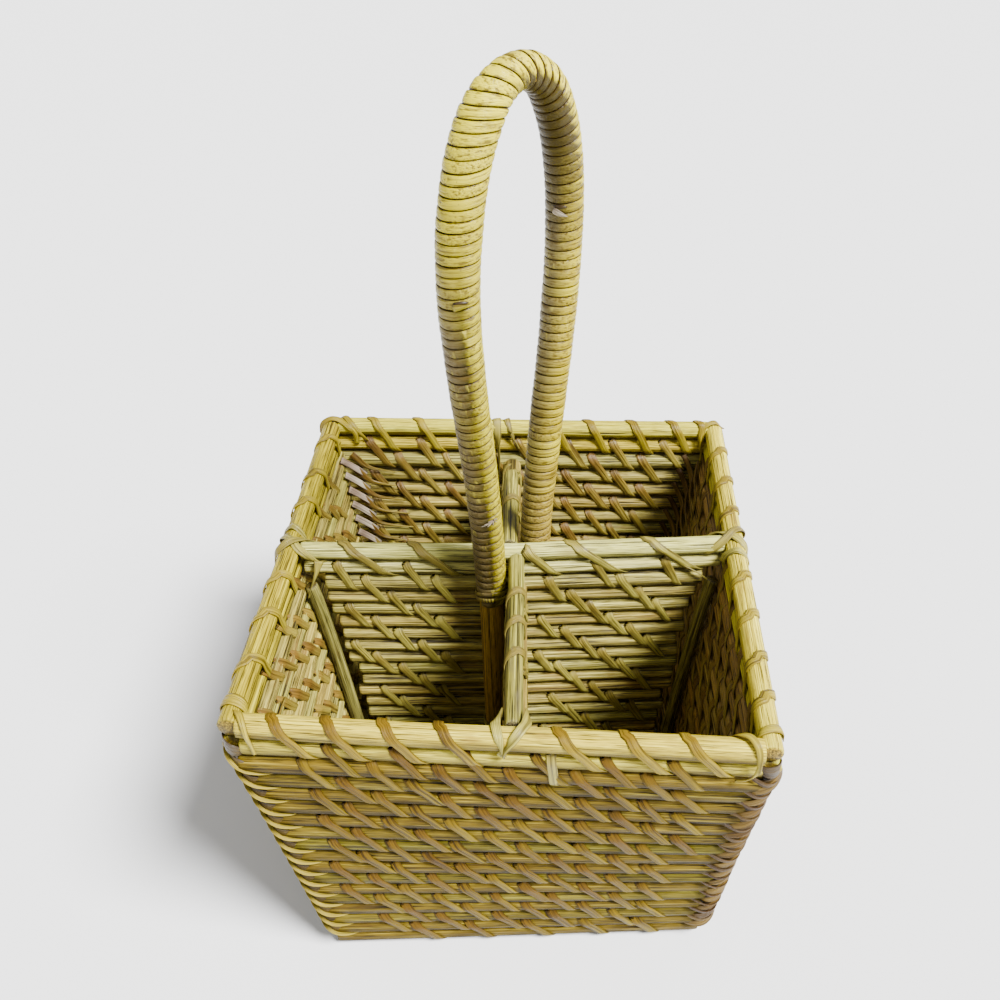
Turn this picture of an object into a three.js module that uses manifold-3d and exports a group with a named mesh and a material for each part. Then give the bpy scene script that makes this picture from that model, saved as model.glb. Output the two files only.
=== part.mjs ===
// Four-compartment caddy basket of laced reeds with a cane-wound hoop handle.
// Millimetres, +Z up, origin on the supporting surface under the middle of the floor.
import * as THREE from 'three';
import { mergeVertices } from 'three/addons/utils/BufferGeometryUtils.js';
import Module from 'manifold-3d';

const wasm = await Module();
wasm.setup();

// Overall sizes of the tub, measured between rod centres
const rimWidth = 210;
const rimDepth = 210;
const floorWidth = 184;
const floorDepth = 184;
const rimHeight = 165;
const wallCurve = 1.15;

// Reeds: across-flats half thickness of each kind, and how many are stacked
const rimApothem = 4.6;
const baseApothem = 4.6;
const dividerApothem = 4.1;
const postApothem = 3.8;
const wallReedCount = 15;
const dividerReedCount = 17;
const floorReedCount = 19;
const reedLap = 0.2;
const reedSides = 8;
const raggedEnd = 1.6;
const raggedRhythm = 2.4;
const cornerChamfer = 4;

// Clearance between pieces that touch
const seat = 0.3;

// Flat cane strip of the bindings
const stripWidth = 5;
const stripThickness = 0.8;
const bindingPitch = 24;
const partitionBindingPitch = 38;
const bindingMargin = 7;
const bindingClearance = 1;
const jointMargin = 12;
const outerSlantShare = 0.5;
const innerSlantShare = 0.3;

// Corner lacing that snakes down each corner
const lacingWidth = 3.4;
const lacingReach = 11;

// Round cane ties at the joints
const tieRadius = 1;
const tieSides = 5;
const tieSteps = 20;
const tieSpread = 6;
const tieReach = 8;
const tieSlack = 0.35;
const tieStandoff = 1.25 * tieRadius;

// Shape of a joint tie: shares of the rim clearance outward and upward as it passes over the rim,
// then shares of its reach inward and of the rod clearance sideways and downward
const tieOuterDrop = 1.5;
const tieOverRim = [[0.85, 0.75], [0, 1.04], [-0.95, 0.7]];
const tieUnderRod = [[0.4, 1, 0], [0.85, 0.8, 0.8]];

// Drift of the crossed dividers at rim level, away from square
const dividerSetback = 1;
const dividerLeftDrift = -3;
const dividerRightDrift = 11;
const frontPartitionDrift = 3.8;
const rearPartitionDrift = -4.2;
const rearRodShortfall = 24;
const postTopDrop = 15;

// Hoop handle: a bent pole whose limbs stand on the floor at both sides of the divider
const handleTop = 379;
const handleSpringline = 310;
const handleHalfSpan = 29;
const archFullness = 0.9;
const handleLean = 5;
const limbSide = 10;
const poleRadius = 5.9;
const limbFlare = [[55, 4.2], [108, 10.4]];
const windingTurns = 84;
const windingThickness = 0.9;
const windingGap = 1.2;
const windingDrop = 24;
const curveDivisions = 800;
const handleTieRows = [2, 5];

// How far the hand-made rim has strayed from square at each corner, and the turn of the floor
const floorTurn = THREE.MathUtils.degToRad(3.2);
const rimStray = {
  frontLeft: new THREE.Vector3(0, 2.6, 1.6),
  frontRight: new THREE.Vector3(-3, -1.4, -3.4),
  backLeft: new THREE.Vector3(0, 0, 0.9),
  backRight: new THREE.Vector3(2.1, 0, 0.9),
};

// Colours of dried reed and cane
const palette = {
  rod: { color: 0xb9a352, roughness: 0.62 },
  reed: { color: 0xa8934a, roughness: 0.66 },
  shadedReed: { color: 0x8f7b3c, roughness: 0.7 },
  greenPost: { color: 0x5f6432, roughness: 0.7 },
  strip: { color: 0xb08a55, roughness: 0.55 },
  winding: { color: 0xbfa54a, roughness: 0.42 },
  pole: { color: 0x6f4c1f, roughness: 0.5 },
};

const basket = new THREE.Group();
basket.name = 'caddy_basket';

// Half width and half depth of the tub at a height; the walls curve in towards the floor
function wallInset(rim, floor, z) {
  return ((rim - floor) / 2) * Math.pow(Math.max(0, 1 - z / rimHeight), wallCurve);
}

function halfWidth(z) {
  return rimWidth / 2 - wallInset(rimWidth, floorWidth, z);
}

function halfDepth(z) {
  return rimDepth / 2 - wallInset(rimDepth, floorDepth, z);
}

// Hand-made stray: the rim corners shift, and the floor turns a little under the rim
function strayed(point) {
  const share = Math.min(point.z / rimHeight, 1);
  const turn = floorTurn * (1 - share);
  const right = point.x / rimWidth + 0.5;
  const back = point.y / rimDepth + 0.5;
  const shift = new THREE.Vector3()
    .addScaledVector(rimStray.frontLeft, (1 - right) * (1 - back))
    .addScaledVector(rimStray.frontRight, right * (1 - back))
    .addScaledVector(rimStray.backLeft, (1 - right) * back)
    .addScaledVector(rimStray.backRight, right * back)
    .multiplyScalar(share);
  return new THREE.Vector3(
    point.x * Math.cos(turn) - point.y * Math.sin(turn),
    point.x * Math.sin(turn) + point.y * Math.cos(turn),
    point.z,
  ).add(shift);
}

function strayGeometry(geometry) {
  const position = geometry.attributes.position;
  for (let i = 0; i < position.count; i += 1) {
    const moved = strayed(new THREE.Vector3().fromBufferAttribute(position, i));
    position.setXYZ(i, moved.x, moved.y, moved.z);
  }
  return geometry;
}

// Signed volume of an indexed mesh, to turn its faces outward
function signedVolume(geometry) {
  const position = geometry.attributes.position;
  const index = geometry.index;
  const corner = [new THREE.Vector3(), new THREE.Vector3(), new THREE.Vector3()];
  let volume = 0;
  for (let i = 0; i < index.count; i += 3) {
    corner.forEach((vector, k) => vector.fromBufferAttribute(position, index.getX(i + k)));
    volume += corner[0].dot(corner[1].clone().cross(corner[2])) / 6;
  }
  return volume;
}

function facingOut(geometry) {
  if (signedVolume(geometry) < 0) {
    geometry.index.array.reverse();
  }
  return geometry;
}

// Closed body through a row of rings; a loop joins its last ring to its first
function loft(rings, isLoop = false) {
  const count = rings[0].length;
  const positions = rings.flat().flatMap((point) => point.toArray());
  const indices = [];
  const spans = isLoop ? rings.length : rings.length - 1;
  for (let i = 0; i < spans; i += 1) {
    const here = i * count;
    const next = ((i + 1) % rings.length) * count;
    for (let j = 0; j < count; j += 1) {
      const k = (j + 1) % count;
      indices.push(here + j, here + k, next + k, here + j, next + k, next + j);
    }
  }
  if (!isLoop) {
    const last = (rings.length - 1) * count;
    for (let j = 1; j < count - 1; j += 1) {
      indices.push(0, j + 1, j, last, last + j, last + j + 1);
    }
  }
  const geometry = new THREE.BufferGeometry();
  geometry.setAttribute('position', new THREE.Float32BufferAttribute(positions, 3));
  geometry.setIndex(indices);
  return facingOut(geometry);
}

// Solids for joining and cutting
function toSolid(geometry) {
  const bare = geometry.clone();
  bare.deleteAttribute('normal');
  bare.deleteAttribute('uv');
  const merged = mergeVertices(bare);
  return new wasm.Manifold(new wasm.Mesh({
    numProp: 3,
    vertProperties: new Float32Array(merged.attributes.position.array),
    triVerts: new Uint32Array(merged.index.array),
  }));
}

function toGeometry(solid) {
  const mesh = solid.getMesh();
  const geometry = new THREE.BufferGeometry();
  geometry.setAttribute('position', new THREE.Float32BufferAttribute(mesh.vertProperties, 3));
  geometry.setIndex(Array.from(mesh.triVerts));
  return geometry;
}

function joined(geometries) {
  return geometries.map(toSolid).reduce((whole, piece) => whole.add(piece));
}

function cutBy(solid, cutters) {
  return cutters.map(toSolid).reduce((rest, cutter) => rest.subtract(cutter), solid);
}

function addPiece(name, geometry, finish) {
  const material = new THREE.MeshStandardMaterial({ ...palette[finish], metalness: 0 });
  const mesh = new THREE.Mesh(strayGeometry(geometry), material);
  mesh.name = name;
  basket.add(mesh);
}

// A rail is the upright plane that a wall or divider stands in: its run along X or Y, and the
// place of its middle across that run at each height
const walls = {
  front: { axis: 'x', out: -1, line: (s, z) => -halfDepth(z), half: halfWidth },
  back: { axis: 'x', out: 1, line: (s, z) => halfDepth(z), half: halfWidth },
  left: { axis: 'y', out: -1, line: (s, z) => -halfWidth(z), half: halfDepth },
  right: { axis: 'y', out: 1, line: (s, z) => halfWidth(z), half: halfDepth },
};

function dividerLine(x, z) {
  const drift = x < 0 ? -dividerLeftDrift : dividerRightDrift;
  return dividerSetback + (drift * x * z) / (rimHeight * (rimWidth / 2));
}

const polygonStretch = 1 / Math.cos(Math.PI / reedSides);
const windingInner = poleRadius + seat * polygonStretch;
const windingOuter = windingInner + windingThickness;
const partitionShift = windingOuter + seat + dividerApothem - limbSide;

function partitionLine(shift, drift) {
  return (y, z) => shift + (drift * Math.abs(y) * z) / (rimHeight * (rimDepth / 2));
}

const dividerRail = { axis: 'x', out: -1, line: dividerLine };
const frontRail = { axis: 'y', out: -1, line: partitionLine(partitionShift, frontPartitionDrift) };
const rearRail = { axis: 'y', out: -1, line: partitionLine(-partitionShift, rearPartitionDrift) };

function onRail(rail, s, across, z) {
  return rail.axis === 'x' ? new THREE.Vector3(s, across, z) : new THREE.Vector3(across, s, z);
}

// Eight-sided reed along a rail at one height, with a flat below
function reed(rail, stops, z, apothem) {
  const radius = apothem * polygonStretch;
  const rings = stops.map((s) => {
    const middle = rail.line(s, z);
    return Array.from({ length: reedSides }, (_, k) => {
      const angle = ((k + 0.5) * 2 * Math.PI) / reedSides;
      return onRail(rail, s, middle + radius * Math.cos(angle), z + radius * Math.sin(angle));
    });
  });
  return loft(rings);
}

// Heights and half thickness of reeds stacked between two levels, each lapping the next a little
function stack(bottom, top, count) {
  const apothem = (top - bottom + reedLap * (count - 1)) / (2 * count);
  const pitch = 2 * apothem - reedLap;
  const rows = Array.from({ length: count }, (_, i) => bottom + apothem + i * pitch);
  return { apothem, rows };
}

const floorStack = stack(
  -halfDepth(baseApothem) + baseApothem + seat,
  halfDepth(baseApothem) - baseApothem - seat,
  floorReedCount,
);
const floorTop = 2 * floorStack.apothem;
const stripSpace = stripThickness + 2 * seat;
const underRodHeight = rimHeight - 2 * rimApothem - seat;
const underDividerHeight = rimHeight - 2 * dividerApothem - seat;
const wallStack = stack(
  2 * baseApothem + seat,
  underRodHeight - rimApothem - stripSpace,
  wallReedCount,
);
const dividerStack = stack(
  floorTop + seat,
  underDividerHeight - dividerApothem - stripSpace,
  dividerReedCount,
);

function ragged(row) {
  return (raggedEnd / 2) * (1 + Math.sin(row * raggedRhythm));
}

// The side walls run the full depth; the front and back walls stand between them.
// The side reeds stop short of the corner edge, which the lacing rounds off.
function wallEnd(name, z, apothem) {
  const isSide = name === 'left' || name === 'right';
  const reach = walls[name].half(z);
  return isSide ? reach + apothem - cornerChamfer : reach - apothem - seat;
}

function wallReed(name, z, apothem, shortening = 0) {
  const end = wallEnd(name, z, apothem) - shortening;
  return reed(walls[name], [-end, end], z, apothem);
}

// Tightest inner faces of the walls about a height, where the rows below lean in most
function insideWidth(z) {
  return halfWidth(z - wallStack.apothem) - wallStack.apothem - seat;
}

function insideDepth(z) {
  return halfDepth(z - wallStack.apothem) - wallStack.apothem - seat;
}

// Helical flat strip round the pair of rods that tops a wall or divider
function binding(rail, start, end, apothem, topHeight, underHeight, wantedPitch) {
  const inner = (apothem + seat) * polygonStretch;
  const outer = inner + stripThickness * polygonStretch;
  const turns = Math.max(1, Math.round((end - start) / wantedPitch));
  const pitch = (end - start) / turns;
  const crossShare = (1 - outerSlantShare - innerSlantShare) / (reedSides - 2);
  const rings = [];
  let s = start;
  for (let step = 0; step <= turns * reedSides; step += 1) {
    const k = step % reedSides;
    const angle = ((k + 0.5) * 2 * Math.PI) / reedSides;
    const height = Math.sin(angle) > 0 ? topHeight : underHeight;
    const edge = (along, radius) => onRail(
      rail,
      along,
      rail.line(along, height) - rail.out * radius * Math.cos(angle),
      height + radius * Math.sin(angle),
    );
    rings.push([
      edge(s - stripWidth / 2, inner),
      edge(s + stripWidth / 2, inner),
      edge(s + stripWidth / 2, outer),
      edge(s - stripWidth / 2, outer),
    ]);
    if (k === reedSides / 2 - 1) {
      s += outerSlantShare * pitch;
    } else if (k === reedSides - 1) {
      s += innerSlantShare * pitch;
    } else {
      s += crossShare * pitch;
    }
  }
  return loft(rings);
}

// Round cane tie along a closed curve
function tie(points, radius) {
  const curve = new THREE.CatmullRomCurve3(points, true, 'centripetal');
  const frames = curve.computeFrenetFrames(tieSteps, true);
  const rings = Array.from({ length: tieSteps }, (_, i) => {
    const middle = curve.getPointAt(i / tieSteps);
    return Array.from({ length: tieSides }, (_unused, k) => {
      const angle = (k * 2 * Math.PI) / tieSides;
      return middle.clone()
        .addScaledVector(frames.normals[i], radius * Math.cos(angle))
        .addScaledVector(frames.binormals[i], radius * Math.sin(angle));
    });
  });
  return loft(rings, true);
}

// Loop over the rim rod and under the top rod of the divider that butts against it
function jointLoop(wall, crossRail, reach, radius) {
  const overRim = rimApothem + seat + tieStandoff;
  const besideRod = dividerApothem + seat + tieStandoff;
  const half = [
    [overRim, tieSpread, -tieOuterDrop],
    ...tieOverRim.map(([outward, upward]) => [overRim * outward, tieSpread, overRim * upward]),
    ...tieUnderRod.map(([inward, sideways, downward]) => (
      [-overRim - reach * inward, besideRod * sideways, -besideRod * downward]
    )),
  ];
  const turn = [-overRim - reach, 0, -besideRod];
  const mirrored = half.map(([out, along, up]) => [out, -along, up]).reverse();
  const points = [...half, turn, ...mirrored].map(([out, along, up]) => {
    const across = wall.line(0, rimHeight) + wall.out * out;
    return onRail(wall, crossRail.line(across, rimHeight) + along, across, rimHeight + up);
  });
  return tie(points, radius);
}

// Handle: places of the two limbs beside the junction, and the curve between them
const leftLimb = new THREE.Vector2(
  -limbSide,
  dividerLine(-limbSide - windingOuter, rimHeight) - dividerApothem - seat - windingOuter,
);
const rightLimb = new THREE.Vector2(
  limbSide,
  dividerLine(limbSide + windingOuter, rimHeight) + dividerApothem + seat + windingOuter,
);
const handleMiddle = leftLimb.clone().add(rightLimb).multiplyScalar(0.5);
const handleAcross = rightLimb.clone().sub(leftLimb).normalize();
const handleNormal = new THREE.Vector3(handleAcross.y, -handleAcross.x, 0);
const limbHalfGap = leftLimb.distanceTo(rightLimb) / 2;

function handlePoint(offset, z) {
  const rise = Math.max(0, z - rimHeight) / (handleTop - rimHeight);
  return new THREE.Vector3(
    handleMiddle.x + handleAcross.x * offset,
    handleMiddle.y + handleAcross.y * offset,
    z,
  ).addScaledVector(handleNormal, handleLean * rise * rise);
}

function handleCurve() {
  const footHeight = floorTop + seat;
  const limb = [
    [limbHalfGap, footHeight],
    [limbHalfGap, rimHeight / 2],
    [limbHalfGap, rimHeight],
    ...limbFlare.map(([rise, flare]) => [limbHalfGap + flare, rimHeight + rise]),
  ];
  const archSteps = 8;
  const arch = Array.from({ length: archSteps + 1 }, (_, i) => {
    const angle = Math.PI * (1 - i / archSteps);
    const across = Math.sign(Math.cos(angle)) * Math.pow(Math.abs(Math.cos(angle)), archFullness);
    const rise = Math.pow(Math.sin(angle), archFullness);
    return [
      handleHalfSpan * across,
      handleSpringline + (handleTop - handleSpringline) * rise,
    ];
  });
  const profile = [
    ...limb.map(([gap, z]) => [-gap, z]),
    ...arch,
    ...limb.map(([gap, z]) => [gap, z]).reverse(),
  ];
  return new THREE.CatmullRomCurve3(
    profile.map(([offset, z]) => handlePoint(offset, z)),
    false,
    'centripetal',
  );
}

const handleLine = handleCurve();
handleLine.arcLengthDivisions = curveDivisions;
const handleLength = handleLine.getLength();

// Point at a distance along the handle, at a radius and angle round it
function roundHandle(distance, radius, angle) {
  const share = THREE.MathUtils.clamp(distance / handleLength, 0, 1);
  const middle = handleLine.getPointAt(share);
  const tangent = handleLine.getTangentAt(share);
  const side = new THREE.Vector3().crossVectors(handleNormal, tangent).normalize();
  const front = new THREE.Vector3().crossVectors(tangent, side);
  return middle
    .addScaledVector(side, radius * Math.cos(angle))
    .addScaledVector(front, radius * Math.sin(angle));
}

// Distances along the pole for its rings, close together round the arch
function poleStops() {
  const limbLength = handleSpringline - floorTop;
  const longStep = 15;
  const shortStep = 6;
  const stops = [];
  for (let distance = 0; distance < handleLength; ) {
    stops.push(distance);
    const isArch = distance > limbLength - longStep && distance < handleLength - limbLength;
    distance += isArch ? shortStep : longStep;
  }
  if (handleLength - stops[stops.length - 1] < shortStep) {
    stops.pop();
  }
  return [...stops, handleLength];
}

function handlePole() {
  return loft(poleStops().map((distance) => (
    Array.from({ length: reedSides }, (_unused, k) => (
      roundHandle(distance, poleRadius, (k * 2 * Math.PI) / reedSides)
    ))
  )));
}

// Flat cane wound in one unbroken helix round the pole, eight steps to the turn
const windingStart = underRodHeight - windingDrop + rimApothem;
const windingLength = handleLength - 2 * windingStart;
const windingPitch = windingLength / (windingTurns + 1);

function windingRing(step) {
  const angle = (step * 2 * Math.PI) / reedSides;
  const middle = windingStart + windingPitch * (step / reedSides + 0.5);
  const halfStrip = (windingPitch - windingGap) / 2;
  return [
    roundHandle(middle - halfStrip, windingInner, angle),
    roundHandle(middle + halfStrip, windingInner, angle),
    roundHandle(middle + halfStrip, windingOuter, angle),
    roundHandle(middle - halfStrip, windingOuter, angle),
  ];
}

function handleWinding() {
  const rings = Array.from(
    { length: windingTurns * reedSides + 1 },
    (_, step) => windingRing(step),
  );
  let leastGap = Infinity;
  for (let step = 0; step + reedSides < rings.length; step += 1) {
    const below = rings[step];
    const above = rings[step + reedSides];
    leastGap = Math.min(leastGap, below[1].distanceTo(above[0]), below[2].distanceTo(above[3]));
  }
  console.log(`handle winding: ${windingTurns} turns, least gap ${leastGap.toFixed(2)} mm`);
  return loft(rings);
}

// Loop that ties both limbs to the divider between two rows of its reeds
function limbLoop(row, radius) {
  const z = (dividerStack.rows[row] + dividerStack.rows[row + 1]) / 2;
  const reach = poleRadius + seat + tieStandoff;
  const facing = Math.atan2(handleAcross.y, handleAcross.x);
  const bend = [-90, -45, 0, 45, 90].map(THREE.MathUtils.degToRad);
  const round = (limb, heading) => bend.map((angle) => new THREE.Vector3(
    limb.x + reach * Math.cos(heading + angle),
    limb.y + reach * Math.sin(heading + angle),
    z,
  ));
  return tie([...round(rightLimb, facing), ...round(leftLimb, facing + Math.PI)], radius);
}

// Flat strip that snakes down a corner: across one face and round to the other, then a row down.
// Along is the distance from the corner edge, positive on the front or back face.
function cornerPoint(side, depth, along, z, lift) {
  const outX = halfWidth(z + wallStack.apothem) + wallStack.apothem + seat + lift;
  const outY = halfDepth(z + wallStack.apothem) + wallStack.apothem + seat + lift;
  return new THREE.Vector3(
    side * (outX - Math.max(0, along)),
    depth * (outY - Math.max(0, -along)),
    z,
  );
}

function lacingPath() {
  return wallStack.rows.slice().reverse().flatMap((z, row) => {
    const heading = row % 2 === 0 ? 1 : -1;
    return [-lacingReach, -cornerChamfer, cornerChamfer, lacingReach].map((along) => (
      new THREE.Vector2(heading * along, z)
    ));
  });
}

// Sideways offset at a point of a path whose turns are mitred
function mitre(path, i) {
  const before = path[i].clone().sub(path[Math.max(0, i - 1)]).normalize();
  const after = path[Math.min(path.length - 1, i + 1)].clone().sub(path[i]).normalize();
  const incoming = i === 0 ? after : before;
  const outgoing = i === path.length - 1 ? before : after;
  const across = new THREE.Vector2(-incoming.y - outgoing.y, incoming.x + outgoing.x);
  return across.multiplyScalar(lacingWidth / (2 + 2 * incoming.dot(outgoing)));
}

function cornerLacing(side, depth) {
  const path = lacingPath();
  return loft(path.map((middle, i) => {
    const offset = mitre(path, i);
    const low = middle.clone().sub(offset);
    const high = middle.clone().add(offset);
    return [
      cornerPoint(side, depth, low.x, low.y, 0),
      cornerPoint(side, depth, high.x, high.y, 0),
      cornerPoint(side, depth, high.x, high.y, stripThickness),
      cornerPoint(side, depth, low.x, low.y, stripThickness),
    ];
  }));
}

// Bare upright reed that props the divider against a side wall
function dividerPost(side) {
  const bottom = floorTop + seat;
  const top = rimHeight - postTopDrop;
  const steps = 5;
  const radius = postApothem * polygonStretch;
  return loft(Array.from({ length: steps + 1 }, (_, i) => {
    const z = bottom + ((top - bottom) * i) / steps;
    const x = side * (insideWidth(z) - postApothem);
    const nearest = Math.min(dividerLine(x - postApothem, z), dividerLine(x + postApothem, z));
    const y = nearest - dividerApothem - seat - postApothem;
    return Array.from({ length: reedSides }, (_unused, k) => {
      const angle = ((k + 0.5) * 2 * Math.PI) / reedSides;
      return new THREE.Vector3(x + radius * Math.cos(angle), y + radius * Math.sin(angle), z);
    });
  }));
}

function addRim(name) {
  const wall = walls[name];
  const inner = wall.half(rimHeight) - rimApothem - bindingMargin;
  addPiece(`rim_rod_${name}`, wallReed(name, rimHeight, rimApothem), 'rod');
  addPiece(`rim_under_rod_${name}`, wallReed(name, underRodHeight, rimApothem), 'rod');
  const crossing = crossRails[name].line(wall.line(0, rimHeight), rimHeight);
  const halves = wall.axis === 'x' ? ['left', 'right'] : ['front', 'back'];
  const spans = [[-inner, crossing - jointMargin], [crossing + jointMargin, inner]];
  spans.forEach(([start, end], i) => {
    const strip = binding(wall, start, end, rimApothem, rimHeight, underRodHeight, bindingPitch);
    addPiece(`rim_binding_${name}_${halves[i]}`, strip, 'strip');
  });
}

function addWall(name) {
  const { apothem, rows } = wallStack;
  const reeds = rows.map((z, row) => wallReed(name, z, apothem, ragged(row)));
  addPiece(`wall_${name}`, toGeometry(joined(reeds)), 'reed');
  addPiece(`base_rod_${name}`, wallReed(name, baseApothem, baseApothem), 'rod');
}

function addFloor() {
  const end = halfWidth(baseApothem) - baseApothem - seat;
  const { apothem, rows } = floorStack;
  const reeds = rows.map((y) => reed({ axis: 'x', line: () => y }, [-end, end], apothem, apothem));
  addPiece('floor_mat', toGeometry(joined(reeds)), 'shadedReed');
}

const crossRails = {
  left: dividerRail,
  right: dividerRail,
  front: frontRail,
  back: rearRail,
};

const jointReach = {
  left: tieReach,
  right: tieReach,
  front: tieReach,
  back: tieReach + rearRodShortfall,
};

function jointCutters() {
  return Object.keys(walls).map((name) => (
    jointLoop(walls[name], crossRails[name], jointReach[name], tieRadius + tieSlack)
  ));
}

function limbCutters() {
  return handleTieRows.map((row) => limbLoop(row, tieRadius + tieSlack));
}

// Top rod, rod under it and laced reeds of a divider or partition; ends gives its stops at a height
function addDivider(name, rail, ends, rodShortening = 0) {
  const { apothem, rows } = dividerStack;
  const rodStops = ends(rimHeight);
  rodStops[rodStops.length - 1] -= rodShortening;
  addPiece(`${name}_top_rod`, reed(rail, rodStops, rimHeight, dividerApothem), 'rod');
  const under = reed(rail, ends(underDividerHeight), underDividerHeight, dividerApothem);
  addPiece(`${name}_under_rod`, toGeometry(cutBy(toSolid(under), jointCutters())), 'rod');
  const reeds = rows.map((z) => reed(rail, ends(z), z, apothem));
  addPiece(name, toGeometry(cutBy(joined(reeds), limbCutters())), 'reed');
}

function dividerEnds(z) {
  return [-insideWidth(z), 0, insideWidth(z)];
}

function frontPartitionEnds(z) {
  const left = partitionShift - dividerStack.apothem;
  return [-insideDepth(z), dividerLine(left, z) - dividerStack.apothem - seat];
}

function rearPartitionEnds(z) {
  const right = -partitionShift + dividerStack.apothem;
  return [dividerLine(right, z) + dividerStack.apothem + seat, insideDepth(z)];
}

function addDividerBinding(name, rail, start, end, pitch) {
  const strip = binding(rail, start, end, dividerApothem, rimHeight, underDividerHeight, pitch);
  addPiece(name, strip, 'strip');
}

Object.keys(walls).forEach((name) => {
  addRim(name);
  addWall(name);
});
addFloor();

[['front', -1], ['back', 1]].forEach(([depthName, depth]) => {
  [['left', -1], ['right', 1]].forEach(([sideName, side]) => {
    addPiece(`corner_lacing_${depthName}_${sideName}`, cornerLacing(side, depth), 'strip');
  });
});

addDivider('cross_divider', dividerRail, dividerEnds);
addDivider('front_partition', frontRail, frontPartitionEnds);
addDivider('rear_partition', rearRail, rearPartitionEnds, rearRodShortfall);

const bindingInset = jointMargin + tieReach + stripWidth;
const besideHandle = limbSide + windingOuter + seat + stripWidth / 2 + bindingClearance;
const widthEnd = rimWidth / 2 - bindingInset;
const depthEnd = rimDepth / 2 - bindingInset;
addDividerBinding('cross_divider_binding_left', dividerRail, -widthEnd, -besideHandle, bindingPitch);
addDividerBinding('cross_divider_binding_right', dividerRail, besideHandle, widthEnd, bindingPitch);
addDividerBinding(
  'front_partition_binding',
  frontRail,
  -depthEnd,
  leftLimb.y - windingOuter - stripWidth,
  partitionBindingPitch,
);
addDividerBinding(
  'rear_partition_binding',
  rearRail,
  rightLimb.y + windingOuter + stripWidth,
  depthEnd - rearRodShortfall,
  partitionBindingPitch,
);

Object.keys(walls).forEach((name) => {
  const loop = jointLoop(walls[name], crossRails[name], jointReach[name], tieRadius);
  addPiece(`joint_tie_${name}`, loop, 'strip');
});
addPiece('divider_post_left', dividerPost(-1), 'greenPost');
addPiece('divider_post_right', dividerPost(1), 'greenPost');

addPiece('handle_pole', handlePole(), 'pole');
addPiece('handle_winding', handleWinding(), 'winding');
handleTieRows.forEach((row, i) => {
  addPiece(`handle_tie_${['lower', 'upper'][i]}`, limbLoop(row, tieRadius), 'strip');
});

export default basket;
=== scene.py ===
import math

import bpy
import numpy as np
from mathutils import Matrix, Vector


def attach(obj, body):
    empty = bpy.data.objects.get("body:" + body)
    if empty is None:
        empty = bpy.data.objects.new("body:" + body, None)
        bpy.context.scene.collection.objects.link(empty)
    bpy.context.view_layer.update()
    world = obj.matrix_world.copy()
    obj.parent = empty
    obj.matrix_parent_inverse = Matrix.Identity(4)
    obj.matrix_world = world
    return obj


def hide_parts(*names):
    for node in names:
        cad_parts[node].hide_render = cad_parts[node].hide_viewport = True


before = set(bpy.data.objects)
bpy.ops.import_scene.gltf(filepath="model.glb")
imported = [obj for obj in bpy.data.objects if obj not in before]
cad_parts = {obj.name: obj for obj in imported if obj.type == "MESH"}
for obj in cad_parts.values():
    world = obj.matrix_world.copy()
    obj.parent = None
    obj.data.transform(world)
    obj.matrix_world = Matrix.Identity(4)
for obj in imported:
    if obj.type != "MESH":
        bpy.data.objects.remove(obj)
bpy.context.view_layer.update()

SEED = 41
chance = np.random.default_rng(SEED)

# Driving sizes of the basket in millimetres
MM = 0.001
RIM_WIDTH = 210.0
RIM_DEPTH = 210.0
FLOOR_WIDTH = 174.0
FLOOR_DEPTH = 184.0
RIM_HEIGHT = 165.0
WIDTH_TAPER = (150.0, 0.75)
DEPTH_TAPER = (RIM_HEIGHT, 1.15)

# Laps and clearances between pieces
SEAT = 0.3
REED_LAP = 0.2
BINDING_ROOM = 0.8
FLOOR_MAT_LIFT = 0.25

# Half thickness of each kind of reed, and how many are stacked
RIM_HALF = 4.6
BASE_HALF = 4.6
DIVIDER_HALF = 4.1
PARTITION_ROD_HALF = 3.6
POST_HALF = 3.0
WALL_REEDS = 15
DIVIDER_REEDS = 17
FLOOR_REEDS = 19

# Shown radius of a rod as a share of its full one
RIM_ROD_SHARE = 1.02
BASE_ROD_SHARE = 0.95
POLE_SHARE = 0.98

# How far reeds and rods run past a wall, into it, or stop short
RIM_CHAMFER = 3.0
CORNER_CHAMFER = 3.2
BUTT_SHARE = 0.1
RIM_BUTT_SHARE = 0.6
RAGGED_END = 0.7
UNDER_ROD_SHORTFALL = 1.0
PARTITION_SHORTFALL = 1.0
DIVIDER_SHORTFALL = 6.0
RAGGED_DIVIDER_END = 5.0

# Shape of one reed
REED_SIDES = 32
REED_STEP = 7.0
LEAST_STOPS = 3
REED_EDGES = (0.5, 1.7)
REED_TIPS = (0.8, 0.95)
RIDGES = 9
RIDGE_SHARE = 0.022
FINE_RIDGES = 15
FINE_RIDGE_SHARE = 0.012
TWIST = 0.003
SWELL_SHARE = 0.014
SWELL_LENGTH = 34.0
WANDER = 0.22
WANDER_LENGTHS = (23.0, 51.0)
# Painted shade on a reed: how closely it keeps to the groove over the reed and to the one under it, the share
# each groove gets, how much goes on a wall's outer side, and how far the lower painted shade leans round
PAINTED_SHADE_OVER = 5.0
PAINTED_SHADE_UNDER = 1.35
SHADE_BOTH_GROOVES = (1.0, 1.0)
SHADE_UNDER_ONLY = (0.0, 1.0)
OUTSIDE_SHADE = 0.8
UNDER_SHADE_LEANS = {"front": math.radians(50)}

# Flat split cane, and where a strip over a rod has its points, in degrees up from the rod's side
CANE_THICKNESS = 0.55
CANE_WIDTH = 4.6
BINDING_WIDTH = 4.1
ROD_BENDS = (82, 66, 48, 30, 14, 0)
GROOVE_SAG = 0.25

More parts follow.
